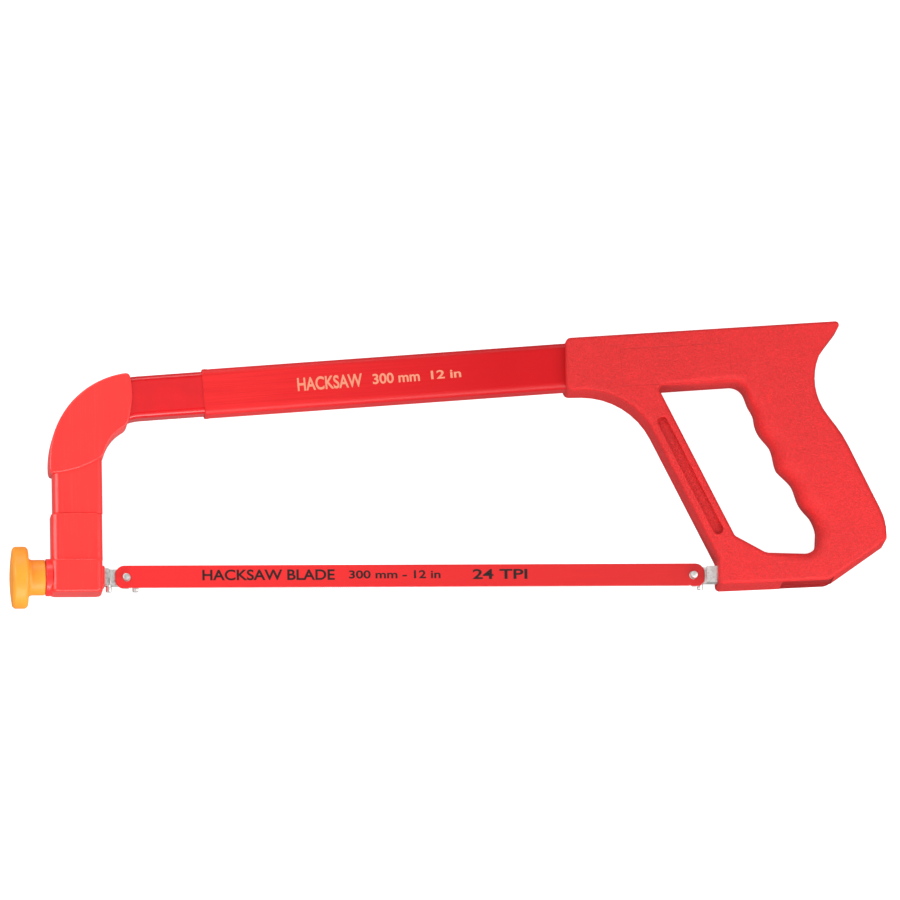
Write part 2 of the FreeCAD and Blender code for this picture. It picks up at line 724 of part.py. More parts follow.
SHANK_HALF = "shank_size / 2"
SIDE_PIN_Y = "(-shank_size / 2 + side_pin_depth)"
FRONT_PIN_X = f"(-{PIN_SHIFT})"
REAR_PIN_X = f"(blade_span + {PIN_SHIFT})"


def pin_hole(name, x):
    """The hole for a blade pin through a tongue."""
    return rod(name, "pin_size", "shank_size / 2", x, "0", f"-{SHANK_HALF}")


def side_hole(name, x):
    """The blind hole for a pin that points away from the bow."""
    return rod(name, "side_pin_size", "shank_size", x, SIDE_PIN_Y, "-side_pin_sink", X_AXIS)


def side_pin(label, x):
    length = "side_pin_depth + side_pin_drop"
    return pin(label, "side_pin_size", length, x, SIDE_PIN_Y, "-side_pin_sink", X_AXIS)


fused_less(
    "front_holder",
    [
        box(
            "Front_shank", "-shank_tail", "-step_front", f"-{SHANK_HALF}", SHANK_HALF,
            f"-{SHANK_HALF}", SHANK_HALF,
        ),
        box(
            "Front_tongue", "-step_front", "tongue_reach", f"-{SHANK_HALF}", SHANK_HALF,
            f"-{SHANK_HALF}", TONGUE_TOP,
        ),
        rod(
            "Front_screw", f"2 * {SCREW_RADIUS}", "screw_tail - shank_tail", "-screw_tail", "0", "0",
            Y_AXIS,
        ),
    ],
    [
        pin_hole("Front_pin_hole", FRONT_PIN_X),
        side_hole("Front_side_hole", "side_pin_front"),
        side_hole("Front_stop_hole", "-stop_pin_at"),
    ],
)
BLADE_PIN_LENGTH = f"pin_rise + {SHANK_HALF}"
pin("front_blade_pin", "pin_size", BLADE_PIN_LENGTH, FRONT_PIN_X, "0", f"-{SHANK_HALF}")
side_pin("front_side_pin", "side_pin_front")
side_pin("front_stop_pin", "-stop_pin_at")

fused_less(
    "rear_holder",
    [
        box(
            "Rear_shank", "blade_span + step_rear", SHANK_END, f"-{SHANK_HALF}", SHANK_HALF,
            f"-{SHANK_HALF}", SHANK_HALF,
        ),
        box(
            "Rear_tongue", "blade_span - tongue_reach", "blade_span + step_rear",
            f"-{SHANK_HALF}", SHANK_HALF, f"-{SHANK_HALF}", TONGUE_TOP,
        ),
    ],
    [
        pin_hole("Rear_pin_hole", REAR_PIN_X),
        side_hole("Rear_side_hole", "blade_span + side_pin_rear"),
        rod(
            "Rear_lock_hole", "lock_pin_size", "lock_pin_length", LOCK_X, "0",
            "-lock_pin_length / 2",
        ),
    ],
)
pin("rear_blade_pin", "pin_size", BLADE_PIN_LENGTH, REAR_PIN_X, "0", f"-{SHANK_HALF}")
side_pin("rear_side_pin", "blade_span + side_pin_rear")
pin("rear_lock_pin", "lock_pin_size", "lock_pin_length", LOCK_X, "0", "-lock_pin_length / 2")

ANCHOR_ROOM = "(shank_size / 2 + anchor_fit)"
ANCHOR_HALF = f"({ANCHOR_ROOM} + anchor_wall)"
anchor = bar_body(
    "rear_anchor",
    "YZ_Plane",
    [centred(ANCHOR_HALF, "anchor_width / 2"), centred(ANCHOR_ROOM, ANCHOR_ROOM)],
    "anchor_thick",
)
place(anchor, f"{ANCHOR_X} + anchor_thick / 2")

# --- handle ------------------------------------------------------------------------------------------------------------------

def over_bar(out, rise):
    """A point that stands over the sleeve on the bar, out from the rear hole."""
    x = REAR_X + out
    return x, bar_y(x) + SLEEVE_HALF + rise


def under_bar(out, drop):
    """A point under the sleeve on the bar, out from the rear hole."""
    x = REAR_X + out
    return x, bar_y(x) - SLEEVE_HALF - drop


def by_blade(out, rise):
    """A point out from the rear hole and above the blade's line."""
    return REAR_X + out, rise


# The strut runs from the beam down to the rail. Its blade side passes through these two points.
STRUT_HIGH = Vector(*by_blade(-15.9, 63.9), 0)
STRUT_LOW = Vector(*by_blade(size("rail_back") - 0.3, 7.4), 0)
STRUT_WAY = (STRUT_HIGH - STRUT_LOW).normalize()
STRUT_ACROSS = STRUT_WAY.cross(Z_AXIS)


def on_strut(height, inward):
    """A point on the strut's blade side at a height, moved across the strut."""
    run = (height - STRUT_LOW.y) / STRUT_WAY.y
    shifted = STRUT_LOW + STRUT_WAY * run
    step = inward / STRUT_ACROSS.x
    return shifted.x + step, height


GRIP_X = size("grip_back")
neck_height = under_bar(-size("handle_front"), size("beam_bottom"))[1]
ceiling_height = under_bar(-19, size("beam_bottom"))[1]
outer_corners = [
    (*over_bar(-size("handle_front"), size("beam_top")), 3),
    (*under_bar(-size("handle_front"), size("beam_bottom")), 3),
    (*on_strut(neck_height, 0), 40),
    (STRUT_LOW.x, STRUT_LOW.y, 4),
    (*by_blade(size("rail_back"), -size("rail_bottom")), 2.5),
    (*by_blade(71.4, 2.3 - size("rail_bottom")), 8),
    (*by_blade(GRIP_X, 16.7), 5),
    (*by_blade(GRIP_X, 27.0), 30),
    (*by_blade(GRIP_X - 22.8, 73.2), 60),
    (*over_bar(59.6, -29.0), 20),
    (*over_bar(HORN_OUT, HORN_RISE), HORN_ROUND),
]
opening_corners = [
    (*on_strut(ceiling_height, size("strut_width")), 2),
    (*on_strut(19.2, size("strut_width")), 3),
    (*by_blade(38.0, size("rail_top")), 8),
    (*by_blade(65.3, size("rail_top")), 7),
    (*by_blade(65.3, 24.0), 9),
    (*by_blade(52.2, 47.6), 9),
    (*by_blade(45.6, 56.4), 6),
    (*by_blade(40.4, 68.0), 9),
    (*by_blade(33.0, 81.5), 9),
    (*under_bar(26.5, size("beam_bottom") + 0.7), 7),
]

half = size("handle_thick") / 2
fit = size("handle_fit")
handle = plate(rounded_outline(outer_corners), -half, half)
handle = handle.makeFillet(size("handle_round"), rim_edges(handle, -half, half))
opening = plate(rounded_outline(opening_corners), -half - CUT_OVER, half + CUT_OVER)


def strut_slot():
    """The long recess with round ends in the strut's upper face."""
    middle = size("strut_width") / 2
    radius = size("slot_width") / 2
    high = Vector(*on_strut(80.3, middle), 0)
    low = Vector(*on_strut(22.5, middle), 0)
    side = STRUT_ACROSS * radius
    wire = Part.Wire([
        Part.LineSegment(high + side, low + side).toShape(),
        Part.Arc(low + side, low - STRUT_WAY * radius, low - side).toShape(),
        Part.LineSegment(low - side, high - side).toShape(),
        Part.Arc(high - side, high + STRUT_WAY * radius, high + side).toShape(),
    ])
    return plate(wire, half - size("slot_depth"), half + CUT_OVER)


def rail_pocket():
    """The open pocket in the rail's lower edge, behind the middle plane."""
    left = REAR_X + size("relief_at")
    low = -size("rail_bottom") - CUT_OVER
    back = size("relief_wall") - half
    corner = Vector(left, low, back)
    depth = size("relief_depth") + CUT_OVER
    return Part.makeBox(size("relief_length"), depth, size("relief_width"), corner)


def socket_room():
    """The way in the rail for the rear shank, its anchor plate and its cross pin."""
    shank = size("shank_size") / 2
    mouth = shank + size("socket_gap")
    plate_left = REAR_X + size("anchor_at")
    plate_right = plate_left + size("anchor_thick")
    plate_half = shank + size("anchor_fit") + size("anchor_wall")
    lock_right = plate_right + size("lock_pin_size") + size("draw_travel") + size("room_gap")
    shank_right = lock_right + size("shank_over")
    lock_half = size("lock_pin_size") / 2 + size("room_gap")
    lock_side = size("lock_pin_length") / 2 + size("room_gap")
    return [
        block(REAR_X + size("rail_back") - CUT_OVER, shank_right, -mouth, mouth, mouth),
        block(plate_left, plate_right, -plate_half, plate_half, size("anchor_width") / 2),
        block(plate_right, lock_right, -lock_half, lock_half, lock_side),
    ]


handle = handle.cut([
    opening,
    strut_slot(),
    rail_pocket(),
    *socket_room(),
    along_bar(
        bar_run(HANDLE_X) - 2 * size("handle_thick"),
        bar_run(HANDLE_X) + size("sleeve_inside") + fit,
        SLEEVE_HALF + fit,
        SLEEVE_SIDE + fit,
    ),
    along_bar(bar_run(HANDLE_X), TUBE_END + fit, COAT_HALF + fit, COAT_SIDE + fit),
    anchor_pin_hole(),
])
shape_part("handle", handle)

pin(
    "handle_pin",
    "anchor_pin_size",
    "handle_thick - 2 * anchor_pin_inset",
    "blade_span - handle_front + anchor_pin_at",
    f"{BAR_START_Y}"
    f" + (blade_span - handle_front + anchor_pin_at - {BAR_START_X}) * tan(bar_angle * 1 deg)",
    "anchor_pin_inset - handle_thick / 2",
)

# --- check and write -------------------------------------------------------------------------------------------------------------

doc.recompute()
for thing in doc.Objects:
    if "Invalid" in thing.State or "Error" in thing.State:
        raise RuntimeError(f"{thing.Label} failed: {thing.State}")
for thing in subparts:
    if thing.Shape.isNull() or not thing.Shape.isValid():
        raise RuntimeError(f"{thing.Label} has no valid shape")

os.makedirs("parts", exist_ok=True)
for thing in subparts:
    thing.Shape.exportStep(f"parts/{thing.Label}.step")
    print(f"{thing.Label}: {len(thing.Shape.Solids)} solid, {thing.Shape.Volume:.0f} mm3")

whole = Part.makeCompound([thing.Shape for thing in subparts]).optimalBoundingBox(True)
print(f"X {whole.XMin:.2f} to {whole.XMax:.2f}, Y {whole.YMin:.2f} to {whole.YMax:.2f}, "
      f"Z {whole.ZMin:.2f} to {whole.ZMax:.2f}")
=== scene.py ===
import math

import bmesh
import bpy
from bpy.props import (
    FloatProperty, FloatVectorProperty, IntProperty, PointerProperty, StringProperty,
)
from mathutils import Matrix, Vector


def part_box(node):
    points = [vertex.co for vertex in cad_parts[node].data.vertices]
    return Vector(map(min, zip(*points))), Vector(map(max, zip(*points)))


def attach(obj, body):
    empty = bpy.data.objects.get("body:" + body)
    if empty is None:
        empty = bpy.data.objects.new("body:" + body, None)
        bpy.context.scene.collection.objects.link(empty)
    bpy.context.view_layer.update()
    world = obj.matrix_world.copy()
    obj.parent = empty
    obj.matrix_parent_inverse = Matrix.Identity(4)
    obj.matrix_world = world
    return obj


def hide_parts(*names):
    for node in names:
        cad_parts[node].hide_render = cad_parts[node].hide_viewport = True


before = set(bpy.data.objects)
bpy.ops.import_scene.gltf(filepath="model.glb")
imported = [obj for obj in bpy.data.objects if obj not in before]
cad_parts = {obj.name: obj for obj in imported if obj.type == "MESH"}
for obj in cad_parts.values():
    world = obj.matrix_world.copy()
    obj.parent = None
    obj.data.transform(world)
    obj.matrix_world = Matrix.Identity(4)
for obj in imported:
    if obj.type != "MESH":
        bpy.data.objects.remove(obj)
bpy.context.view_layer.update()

bl_info = {
    "name": "Insulated Hacksaw",
    "version": (1, 0, 0),
    "blender": (4, 5, 0),
    "location": "3D View > Sidebar > Hacksaw",
    "description": "Builds the visible pieces of an insulated hacksaw round its packed frame",
    "category": "Add Mesh",
}

# --- places on the saw ------------------------------------------------------------------------
# Lengths are in millimetres from the centre of the blade's front hole: x along the blade towards
# the handle, y up to the top bar, z across the saw. SAW carries them to the frame, in metres.

MM = 0.001
BLADE_LOW, BLADE_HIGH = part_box("blade")
HOLE = (BLADE_LOW + BLADE_HIGH) / 2
HOLE.x = BLADE_LOW.x + 6.0 * MM
SAW = Matrix.Translation(HOLE) @ Matrix.Scale(MM, 4)


def limits(node):
    """Lowest and highest corners of a CAD piece, in millimetres from the front hole."""
    low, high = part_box(node)
    return (low - HOLE) / MM, (high - HOLE) / MM


COAT_LOW, COAT_HIGH = limits("bow_coating")
SPAN = limits("blade")[1].x - 6.0
COAT_SIDE = COAT_HIGH.z
COAT_HALF = 11.3
ARM_X = COAT_LOW.x + COAT_HALF
BEND_RADIUS = 36.0
BEND = Vector((ARM_X + BEND_RADIUS, limits("arm_sleeve")[1].y, 0))
SLOPE = math.radians(4.0)
ALONG = Vector((math.cos(SLOPE), math.sin(SLOPE), 0))
ACROSS = Vector((-math.sin(SLOPE), math.cos(SLOPE), 0))
BAR_START = BEND + ACROSS * BEND_RADIUS
SLEEVE_HALF = COAT_HALF + 1.0
SLEEVE_SIDE = limits("top_sleeve")[1].z
SHANK_HALF = 4.3
HANDLE_LOW, HANDLE_HIGH = limits("handle")
RAIL_X = SPAN + 12.2
POCKET_START, POCKET_END, POCKET_TOP = SPAN + 46.5, SPAN + 73.5, -2.5


def bar_y(x):
    """Height of the top bar's centre line over a point on the blade's line."""
    return BAR_START.y + (x - BAR_START.x) * math.tan(SLOPE)


def bar_run(x):
    """Distance along the bar from the bend's end to the point over x."""
    return (x - BAR_START.x) / math.cos(SLOPE)


# --- mesh tools -------------------------------------------------------------------------------

def outline(corners, stride=3.0, fineness=8.0):
    """A closed line through corners (x, y, rounding, edge), as points (x, y, edge)."""
    line = []
    for i, (x, y, rounding, edge) in enumerate(corners):
        here = Vector((x, y))
        if rounding == 0:
            line.append((x, y, edge))
            continue
        before = (Vector(corners[i - 1][:2]) - here).normalized()
        after = (Vector(corners[(i + 1) % len(corners)][:2]) - here).normalized()
        half = before.angle(after) / 2
        centre = here + (before + after).normalized() * (rounding / math.sin(half))
        start = here + before * (rounding / math.tan(half)) - centre
        end = here + after * (rounding / math.tan(half)) - centre
        sweep = math.atan2(start.x * end.y - start.y * end.x, start.dot(end))
        steps = max(2, math.ceil(math.degrees(abs(sweep)) / fineness))
        for k in range(steps + 1):
            angle = math.atan2(start.y, start.x) + sweep * k / steps
            spoke = Vector((math.cos(angle), math.sin(angle))) * rounding
            line.append((*(centre + spoke), edge))
    points = []
    for i, point in enumerate(line):
        following = line[(i + 1) % len(line)]
        pieces = max(1, math.ceil(math.dist(point[:2], following[:2]) / stride))
        for k in range(pieces):
            points.append(tuple(a + (b - a) * k / pieces for a, b in zip(point, following)))
    return points


def eased_line(points, stride, passes):
    """A closed line with even points whose corners are worn round."""
    line = outline([(x, y, 0, edge) for x, y, edge in points], stride=stride)
    for _ in range(passes):
        line = [
            tuple(0.25 * a + 0.5 * b + 0.25 * c for a, b, c in zip(before, here, after))
            for before, here, after in zip(line[-1:] + line[:-1], line, line[1:] + line[:1])
        ]
    return line


def wound(points, clockwise):
    """The same closed line, going round the way that is asked for."""
    area = sum(a[0] * b[1] - b[0] * a[1] for a, b in zip(points, points[1:] + points[:1]))
    return points if (area < 0) == clockwise else points[::-1]


def inward(points, spread):
    """Directions to the left of a closed line, averaged over a spread along it."""
    count = len(points)
    sides = []
    for i in range(count):
        way = Vector(points[(i + 1) % count][:2]) - Vector(points[i - 1][:2])
        sides.append(Vector((-way.y, way.x)).normalized())
    if spread < 0.3:
        return sides
    steps = [math.dist(points[i][:2], points[(i + 1) % count][:2]) for i in range(count)]
    result = []
    for i in range(count):
        total = sides[i].copy()
        for direction in (1, -1):
            run, j = 0.0, i
            while run < 2.5 * spread:
                run += steps[j] if direction == 1 else steps[j - 1]
                j = (j + direction) % count
                total += sides[j] * math.exp(-0.5 * (run / spread) ** 2)
        result.append(total.normalized())
    return result


def bridge(bm, rows):
    """Walls of quads between closed rows of vertices."""
    for lower, upper in zip(rows, rows[1:]):
        count = len(lower)
        for j in range(count):
            k = (j + 1) % count
            bm.faces.new((lower[j], lower[k], upper[k], upper[j]))


def rim(bm, row):
    """The edges round a closed row of vertices."""
    return [bm.edges.get((row[j - 1], row[j])) for j in range(len(row))]


def rounded_plate(loops, low, high, steps=7, low_share=1.0, pits=()):
    """A flat moulding between two heights with rounded edges.

    The first loop is its outside and the others are openings. Each point's third number is the
    edge rounding there. A pit is (loop, depth), a recess from the upper face.
    """
    bm = bmesh.new()
    lower_rims, upper_rims = [], []
    quarter = [math.pi / 2 * k / steps for k in range(steps + 1)]

    def row(points, share, angle, face, sign, extra=0.0, drop=0.0):
        edge = max(point[2] for point in points) * share
        sides = inward(points, 0.5 * edge * (1 - math.cos(angle)))
        made = []
        for (x, y, rounding), side in zip(points, sides):
            rounding *= share
            shift = rounding * (1 - math.cos(angle)) + extra
            z = face + sign * (rounding * (1 - math.sin(angle)) + drop)
            made.append(bm.verts.new((x + side.x * shift, y + side.y * shift, z)))
        return made

    for number, loop in enumerate(loops):
        points = wound(loop, clockwise=number > 0)
        rows = [row(points, low_share, math.pi / 2, low, 1, extra=0.5)]
        rows += [row(points, low_share, angle, low, 1) for angle in reversed(quarter)]
        rows.append(row(points, low_share, 0, low, 1, drop=0.3))
        rows.append(row(points, 1, 0, high, -1, drop=0.3))
        rows += [row(points, 1, angle, high, -1) for angle in quarter]
        rows.append(row(points, 1, math.pi / 2, high, -1, extra=0.5))
        bridge(bm, rows)
        lower_rims += rim(bm, rows[0])
        upper_rims += rim(bm, rows[-1])
    for loop, depth in pits:
        points = wound(loop, clockwise=True)
        rows = [row(points, 1, math.pi / 2, high, -1, extra=0.3)]
        rows += [row(points, 1, angle, high, -1) for angle in reversed(quarter)]
        rows.append(row(points, 0, 0, high, -1, drop=depth))
        bridge(bm, rows)
        upper_rims += rim(bm, rows[0])
        bm.faces.new(rows[-1])
    bmesh.ops.triangle_fill(bm, use_beauty=True, use_dissolve=False, edges=lower_rims)
    bmesh.ops.triangle_fill(bm, use_beauty=True, use_dissolve=False, edges=upper_rims)
    return bm


def section(half_width, half_thick, corner, steps=6):
    """A rectangle with rounded corners about the origin, as points (u, v)."""
    points = []
    for turn, (across, up) in enumerate(((1, 1), (-1, 1), (-1, -1), (1, -1))):
        centre = Vector((across * (half_width - corner), up * (half_thick - corner)))
        arc = []
        for k in range(steps + 1):
            angle = math.pi / 2 * (turn + k / steps)
            arc.append(centre + Vector((math.cos(angle), math.sin(angle))) * corner)
        way_in = Vector((math.sin(math.pi / 2 * turn), -math.cos(math.pi / 2 * turn))) * 0.3
        way_out = Vector((-math.sin(math.pi / 2 * (turn + 1)), math.cos(math.pi / 2 * (turn + 1))))
        points += [arc[0] + way_in, *arc, arc[-1] + way_out * 0.3]
    return points


def loft(rings):
    """A closed solid through rings that all have as many points."""
    bm = bmesh.new()
    rows = [[bm.verts.new(point) for point in ring] for ring in rings]
    bridge(bm, rows)
    bm.faces.new(rows[0])
    bm.faces.new(rows[-1])
    return bm


def eased(start, end, edge, steps=5):
    """Stations (place, shrink) between two ends whose edges are rounded."""
    way = 1 if end > start else -1
    first = []
    for k in range(steps + 1):
        angle = math.pi / 2 * (1 - k / steps)
        first.append((edge * (1 - math.sin(angle)), edge * (1 - math.cos(angle))))
    first = [(run, shrink) for run, shrink in ((0.0, edge + 0.3), *first)]
    stations = [(start + way * run, shrink) for run, shrink in first]
    stations.append((start + way * (edge + 0.4), 0.0))
    stations.append((end - way * (edge + 0.4), 0.0))
    stations += [(end - way * run, shrink) for run, shrink in reversed(first)]
    return stations


def turned(profile, steps=96):
    """A solid of revolution about the x axis from a closed profile of (x, radius) points."""
    bm = bmesh.new()
    rows = []
    for k in range(steps):
        angle = 2 * math.pi * k / steps
        rows.append([
            bm.verts.new((x, radius * math.cos(angle), radius * math.sin(angle)))
            for x, radius in profile
        ])
    bridge(bm, rows + rows[:1])
    bmesh.ops.remove_doubles(bm, verts=bm.verts, dist=1e-4)
    return bm


def brick(low, high):
    """A plain box, used only as a cutter."""
    bm = bmesh.new()
    bmesh.ops.create_cube(bm, size=1.0)
    for vert in bm.verts:
        vert.co = Vector([a + (b - a) * (part + 0.5) for a, b, part in zip(low, high, vert.co)])
    return bm


def loose(bm):
    """A throw-away object that holds a mesh while it is cut."""
    bmesh.ops.recalc_face_normals(bm, faces=bm.faces)
    mesh = bpy.data.meshes.new("cutting")
    bm.to_mesh(mesh)
    bm.free()
    thing = bpy.data.objects.new("cutting", mesh)
    bpy.context.scene.collection.objects.link(thing)
    return thing


def carved(bm, cutters):
    """The solid less each cutter in turn."""
    for cutter in cutters:
        solid, tool = loose(bm), loose(cutter)
        cut = solid.modifiers.new("Cut", "BOOLEAN")
        cut.operation = "DIFFERENCE"
        cut.solver = "EXACT"
        cut.object = tool
        bm = bmesh.new()
        bm.from_object(solid, bpy.context.evaluated_depsgraph_get())
        for thing in (solid, tool):
            bpy.data.objects.remove(thing)
    return bm


def joined(*parts):
    """Several closed solids in one mesh."""
    whole = bmesh.new()
    for part in parts:
        mesh = bpy.data.meshes.new("joining")
        bmesh.ops.recalc_face_normals(part, faces=part.faces)
        part.to_mesh(mesh)
        part.free()
        whole.from_mesh(mesh)
        bpy.data.meshes.remove(mesh)
    return whole


def fit_out(name, mesh, finish, body, nodes=()):
    """Turns a finished mesh, already in the frame, into a piece of the saw."""
    mesh.name = name
    mesh.materials.clear()
    mesh.materials.append(finish)
    piece = bpy.data.objects.new(name, mesh)
    bpy.context.scene.collection.objects.link(piece)
    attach(piece, body)
    if nodes:
        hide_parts(*nodes)


def make_piece(name, bm, finish, body, nodes=(), sharp=38.0):
    """A piece from a mesh in millimetres, smooth but for its sharp edges."""
    bmesh.ops.remove_doubles(bm, verts=bm.verts, dist=1e-4)
    bmesh.ops.recalc_face_normals(bm, faces=bm.faces)
    bm.transform(SAW)
    mesh = bpy.data.meshes.new(name)
    bm.to_mesh(mesh)
    bm.free()
    mesh.shade_smooth()
    mesh.set_sharp_from_angle(angle=math.radians(sharp))
    fit_out(name, mesh, finish, body, nodes)


def softened(node, bevel, finish, body, cutters=()):
    """A copy of a CAD piece whose sharp edges are broken, less any cutters."""
    bm = bmesh.new()
    bm.from_mesh(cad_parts[node].data)
    bm.transform(SAW.inverted())
    bmesh.ops.remove_doubles(bm, verts=bm.verts, dist=1e-3)
    flat = math.radians(1.0)
    bmesh.ops.dissolve_limit(bm, angle_limit=flat, verts=bm.verts, edges=bm.edges)
    keen = [
        edge for edge in bm.edges
        if len(edge.link_faces) == 2 and edge.calc_face_angle() > math.radians(40)
    ]
    bmesh.ops.bevel(
        bm, geom=keen, offset=bevel, offset_type="OFFSET", segments=2, profile=0.5,
        affect="EDGES", clamp_overlap=True,
    )
    bm = carved(bm, cutters)
    make_piece(node + "_finished", bm, finish, body, (node,), sharp=30.0)


# --- finishes ---------------------------------------------------------------------------------

class Wire:
    """One output in a material, which takes part in sums like a number."""

    def __init__(self, paint, socket):
        self.paint = paint
        self.socket = socket

    def sum(self, operation, first, second):
        """A Math node on two values."""
        return self.paint.node("ShaderNodeMath", {"operation": operation}, {0: first, 1: second})

    def __add__(self, other):
        return self.sum("ADD", self, other)

    def __radd__(self, other):
        return self.sum("ADD", other, self)

    def __sub__(self, other):
        return self.sum("SUBTRACT", self, other)

    def __rsub__(self, other):
        return self.sum("SUBTRACT", other, self)

    def __mul__(self, other):
        return self.sum("MULTIPLY", self, other)

    def __rmul__(self, other):
        return self.sum("MULTIPLY", other, self)

    def __abs__(self):
        return self.paint.node("ShaderNodeMath", {"operation": "ABSOLUTE"}, {0: self})


class Paint:
    """A material that is being mixed. Its numbers in millimetres follow the piece."""

    def __init__(self, name):
        self.material = bpy.data.materials.new(name)
        self.material.use_nodes = True
        self.tree = self.material.node_tree
        self.tree.nodes.clear()
        self.shader = self.tree.nodes.new("ShaderNodeBsdfPrincipled")
        output = self.tree.nodes.new("ShaderNodeOutputMaterial")
        self.tree.links.new(self.shader.outputs[0], output.inputs[0])
        raw = self.tree.nodes.new("ShaderNodeTexCoord").outputs["Object"]
        self.here = self.node(
            "ShaderNodeMapping", {}, {"Vector": Wire(self, raw), "Scale": (1000.0, 1000.0, 1000.0)},
        )

    def node(self, kind, settings, sockets, output=0):
        """A node with its settings first, then the values or links of its sockets."""
        made = self.tree.nodes.new(kind)
        for setting, value in settings.items():
            setattr(made, setting, value)
        for socket, value in sockets.items():
            if isinstance(value, Wire):
                self.tree.links.new(value.socket, made.inputs[socket])
            else:
                made.inputs[socket].default_value = value
        return Wire(self, made.outputs[output])

    def laid(self, turn=0.0, scale=(1.0, 1.0, 1.0)):
        """Coordinates in millimetres, turned about z and then scaled along their own axes."""
        if turn:
            level = self.node(
                "ShaderNodeVectorRotate", {"rotation_type": "Z_AXIS"},
                {"Vector": self.here, "Angle": -turn},
            )
        else:
            level = self.here
        return self.node(
            "ShaderNodeVectorMath", {"operation": "MULTIPLY"}, {0: level, 1: scale},
        )

    def axis(self, name):
        """One coordinate of the piece in millimetres."""
        return self.node("ShaderNodeSeparateXYZ", {}, {0: self.here}, "XYZ".index(name))

    def noise(self, scale, detail=2.0, rough=0.5, at=None):
        """Cloudy values about 0.5, whose clumps are 1 / scale millimetres wide."""
        return self.node("ShaderNodeTexNoise", {}, {
            "Vector": at or self.here, "Scale": scale, "Detail": detail, "Roughness": rough,
        })

    def ramp(self, value, low, high):
        """0 below low, 1 above high and a straight line between."""
        return self.node("ShaderNodeMapRange", {}, {
            "Value": value, "From Min": low, "From Max": high,
        })

    def blend(self, share, first, second):
        """From the first colour at 0 to the second at 1."""
        first, second = (
            tint if isinstance(tint, Wire) else (*tint, 1.0) for tint in (first, second)
        )
        return self.node(
            "ShaderNodeMix", {"data_type": "RGBA"}, {0: share, 6: first, 7: second}, 2,
        )

    def dented(self, height, depth, before=None):
        """Relief of that depth in millimetres, on top of earlier relief."""
        sockets = {"Height": height, "Distance": depth * MM, "Strength": 1.0}
        if before is not None:
            sockets["Normal"] = before
        return self.node("ShaderNodeBump", {}, sockets)

    def insert_line(self, middle, half, turn):
        """1 on the thin outline of a turned rectangle on the saw's side, and 0 off it."""
        x, y = (part + at / MM for part, at in zip(middle, HOLE))
        centre = (x * math.cos(turn) + y * math.sin(turn), y * math.cos(turn) - x * math.sin(turn))
        parts = {"Vector": self.laid(turn)}
        gaps = []
        for number in (0, 1):
            place = self.node("ShaderNodeSeparateXYZ", {}, parts, number) - centre[number]
            gaps.append(abs(place) - half[number])
        edge = self.node("ShaderNodeMath", {"operation": "MAXIMUM"}, {0: gaps[0], 1: gaps[1]})
        return self.ramp(abs(edge), 0.22, 0.08)

    def done(self, **values):
        """Sets or links the shader's sockets, whose names have _ for a space."""
        for name, value in values.items():
            socket = self.shader.inputs[name.replace("_", " ")]
            if isinstance(value, Wire):
                self.tree.links.new(value.socket, socket)
            else:
                socket.default_value = (*value, 1.0) if socket.type == "RGBA" else value
        return self.material


def shade(colour, factor):
    """The same colour, lighter or darker."""
    return tuple(min(1.0, part * factor) for part in colour)


MIXED = {}


def finish(name, mix, *colours):
    """A material by name, mixed the first time that it is asked for."""
    if name not in MIXED:
        MIXED[name] = mix(Paint(name + "_finish"), *colours)
    return MIXED[name]


def grained_plastic(paint, colour):
    """Matte moulded plastic with a fine spark-eroded grain, and painted shade in the rail's pocket.
    """
    cloud = paint.noise(0.05, 3.0)
    grain = paint.noise(1.1, 3.0, 0.7)
    fine = paint.noise(3.2, 2.0, 0.6)
    tint = paint.blend(paint.ramp(cloud, 0.3, 0.7), shade(colour, 0.95), shade(colour, 1.04))
    tint = paint.blend(paint.ramp(grain, 0.52, 0.70) * 0.6, tint, shade(colour, 1.45))
    tint = paint.blend(paint.ramp(grain, 0.48, 0.30) * 0.42, tint, shade(colour, 0.62))
    line = paint.insert_line((292.0, 111.0), (29.0, 10.0), math.radians(3.3))
    tint = paint.blend(line * 0.45, tint, shade(colour, 0.70))
    # Painted shade: the walls of the pocket in the rail are darkened by place, as shade in the
    # recess.
    along, up, across = (paint.axis(name) - at / MM for name, at in zip("XYZ", HOLE))
    mouth = paint.ramp(up, POCKET_TOP + 0.6, POCKET_TOP + 0.1)
    face = paint.ramp(across, HANDLE_HIGH.z - 2.0, HANDLE_HIGH.z - 2.4)
    start = paint.ramp(along, POCKET_START - 0.5, POCKET_START + 0.1)
    end = paint.ramp(along, POCKET_END + 0.5, POCKET_END - 0.1)
    tint = paint.blend(start * end * mouth * face, tint, shade(colour, 0.55))
    relief = paint.dented(grain + fine * 0.5, 0.45)
    relief = paint.dented(1.0 - line, 0.10, relief)
    return paint.done(
        Base_Color=tint, Roughness=0.50 + cloud * 0.10, Normal=relief, Specular_IOR_Level=0.38,
    )


def dipped_plastic(paint, colour):
    """Glossy insulation that was dipped on and let run smooth."""
    swell = paint.noise(0.06, 2.0)
    ripple = paint.noise(0.45, 1.0)
    speck = paint.noise(3.0, 2.0)
    tint = paint.blend(paint.ramp(swell, 0.35, 0.65), shade(colour, 0.94), shade(colour, 1.05))
    relief = paint.dented(swell + ripple * 0.05, 0.25)
    return paint.done(
        Base_Color=tint, Roughness=0.20 + speck * 0.10, Normal=relief,
        Coat_Weight=0.15, Coat_Roughness=0.06,
    )


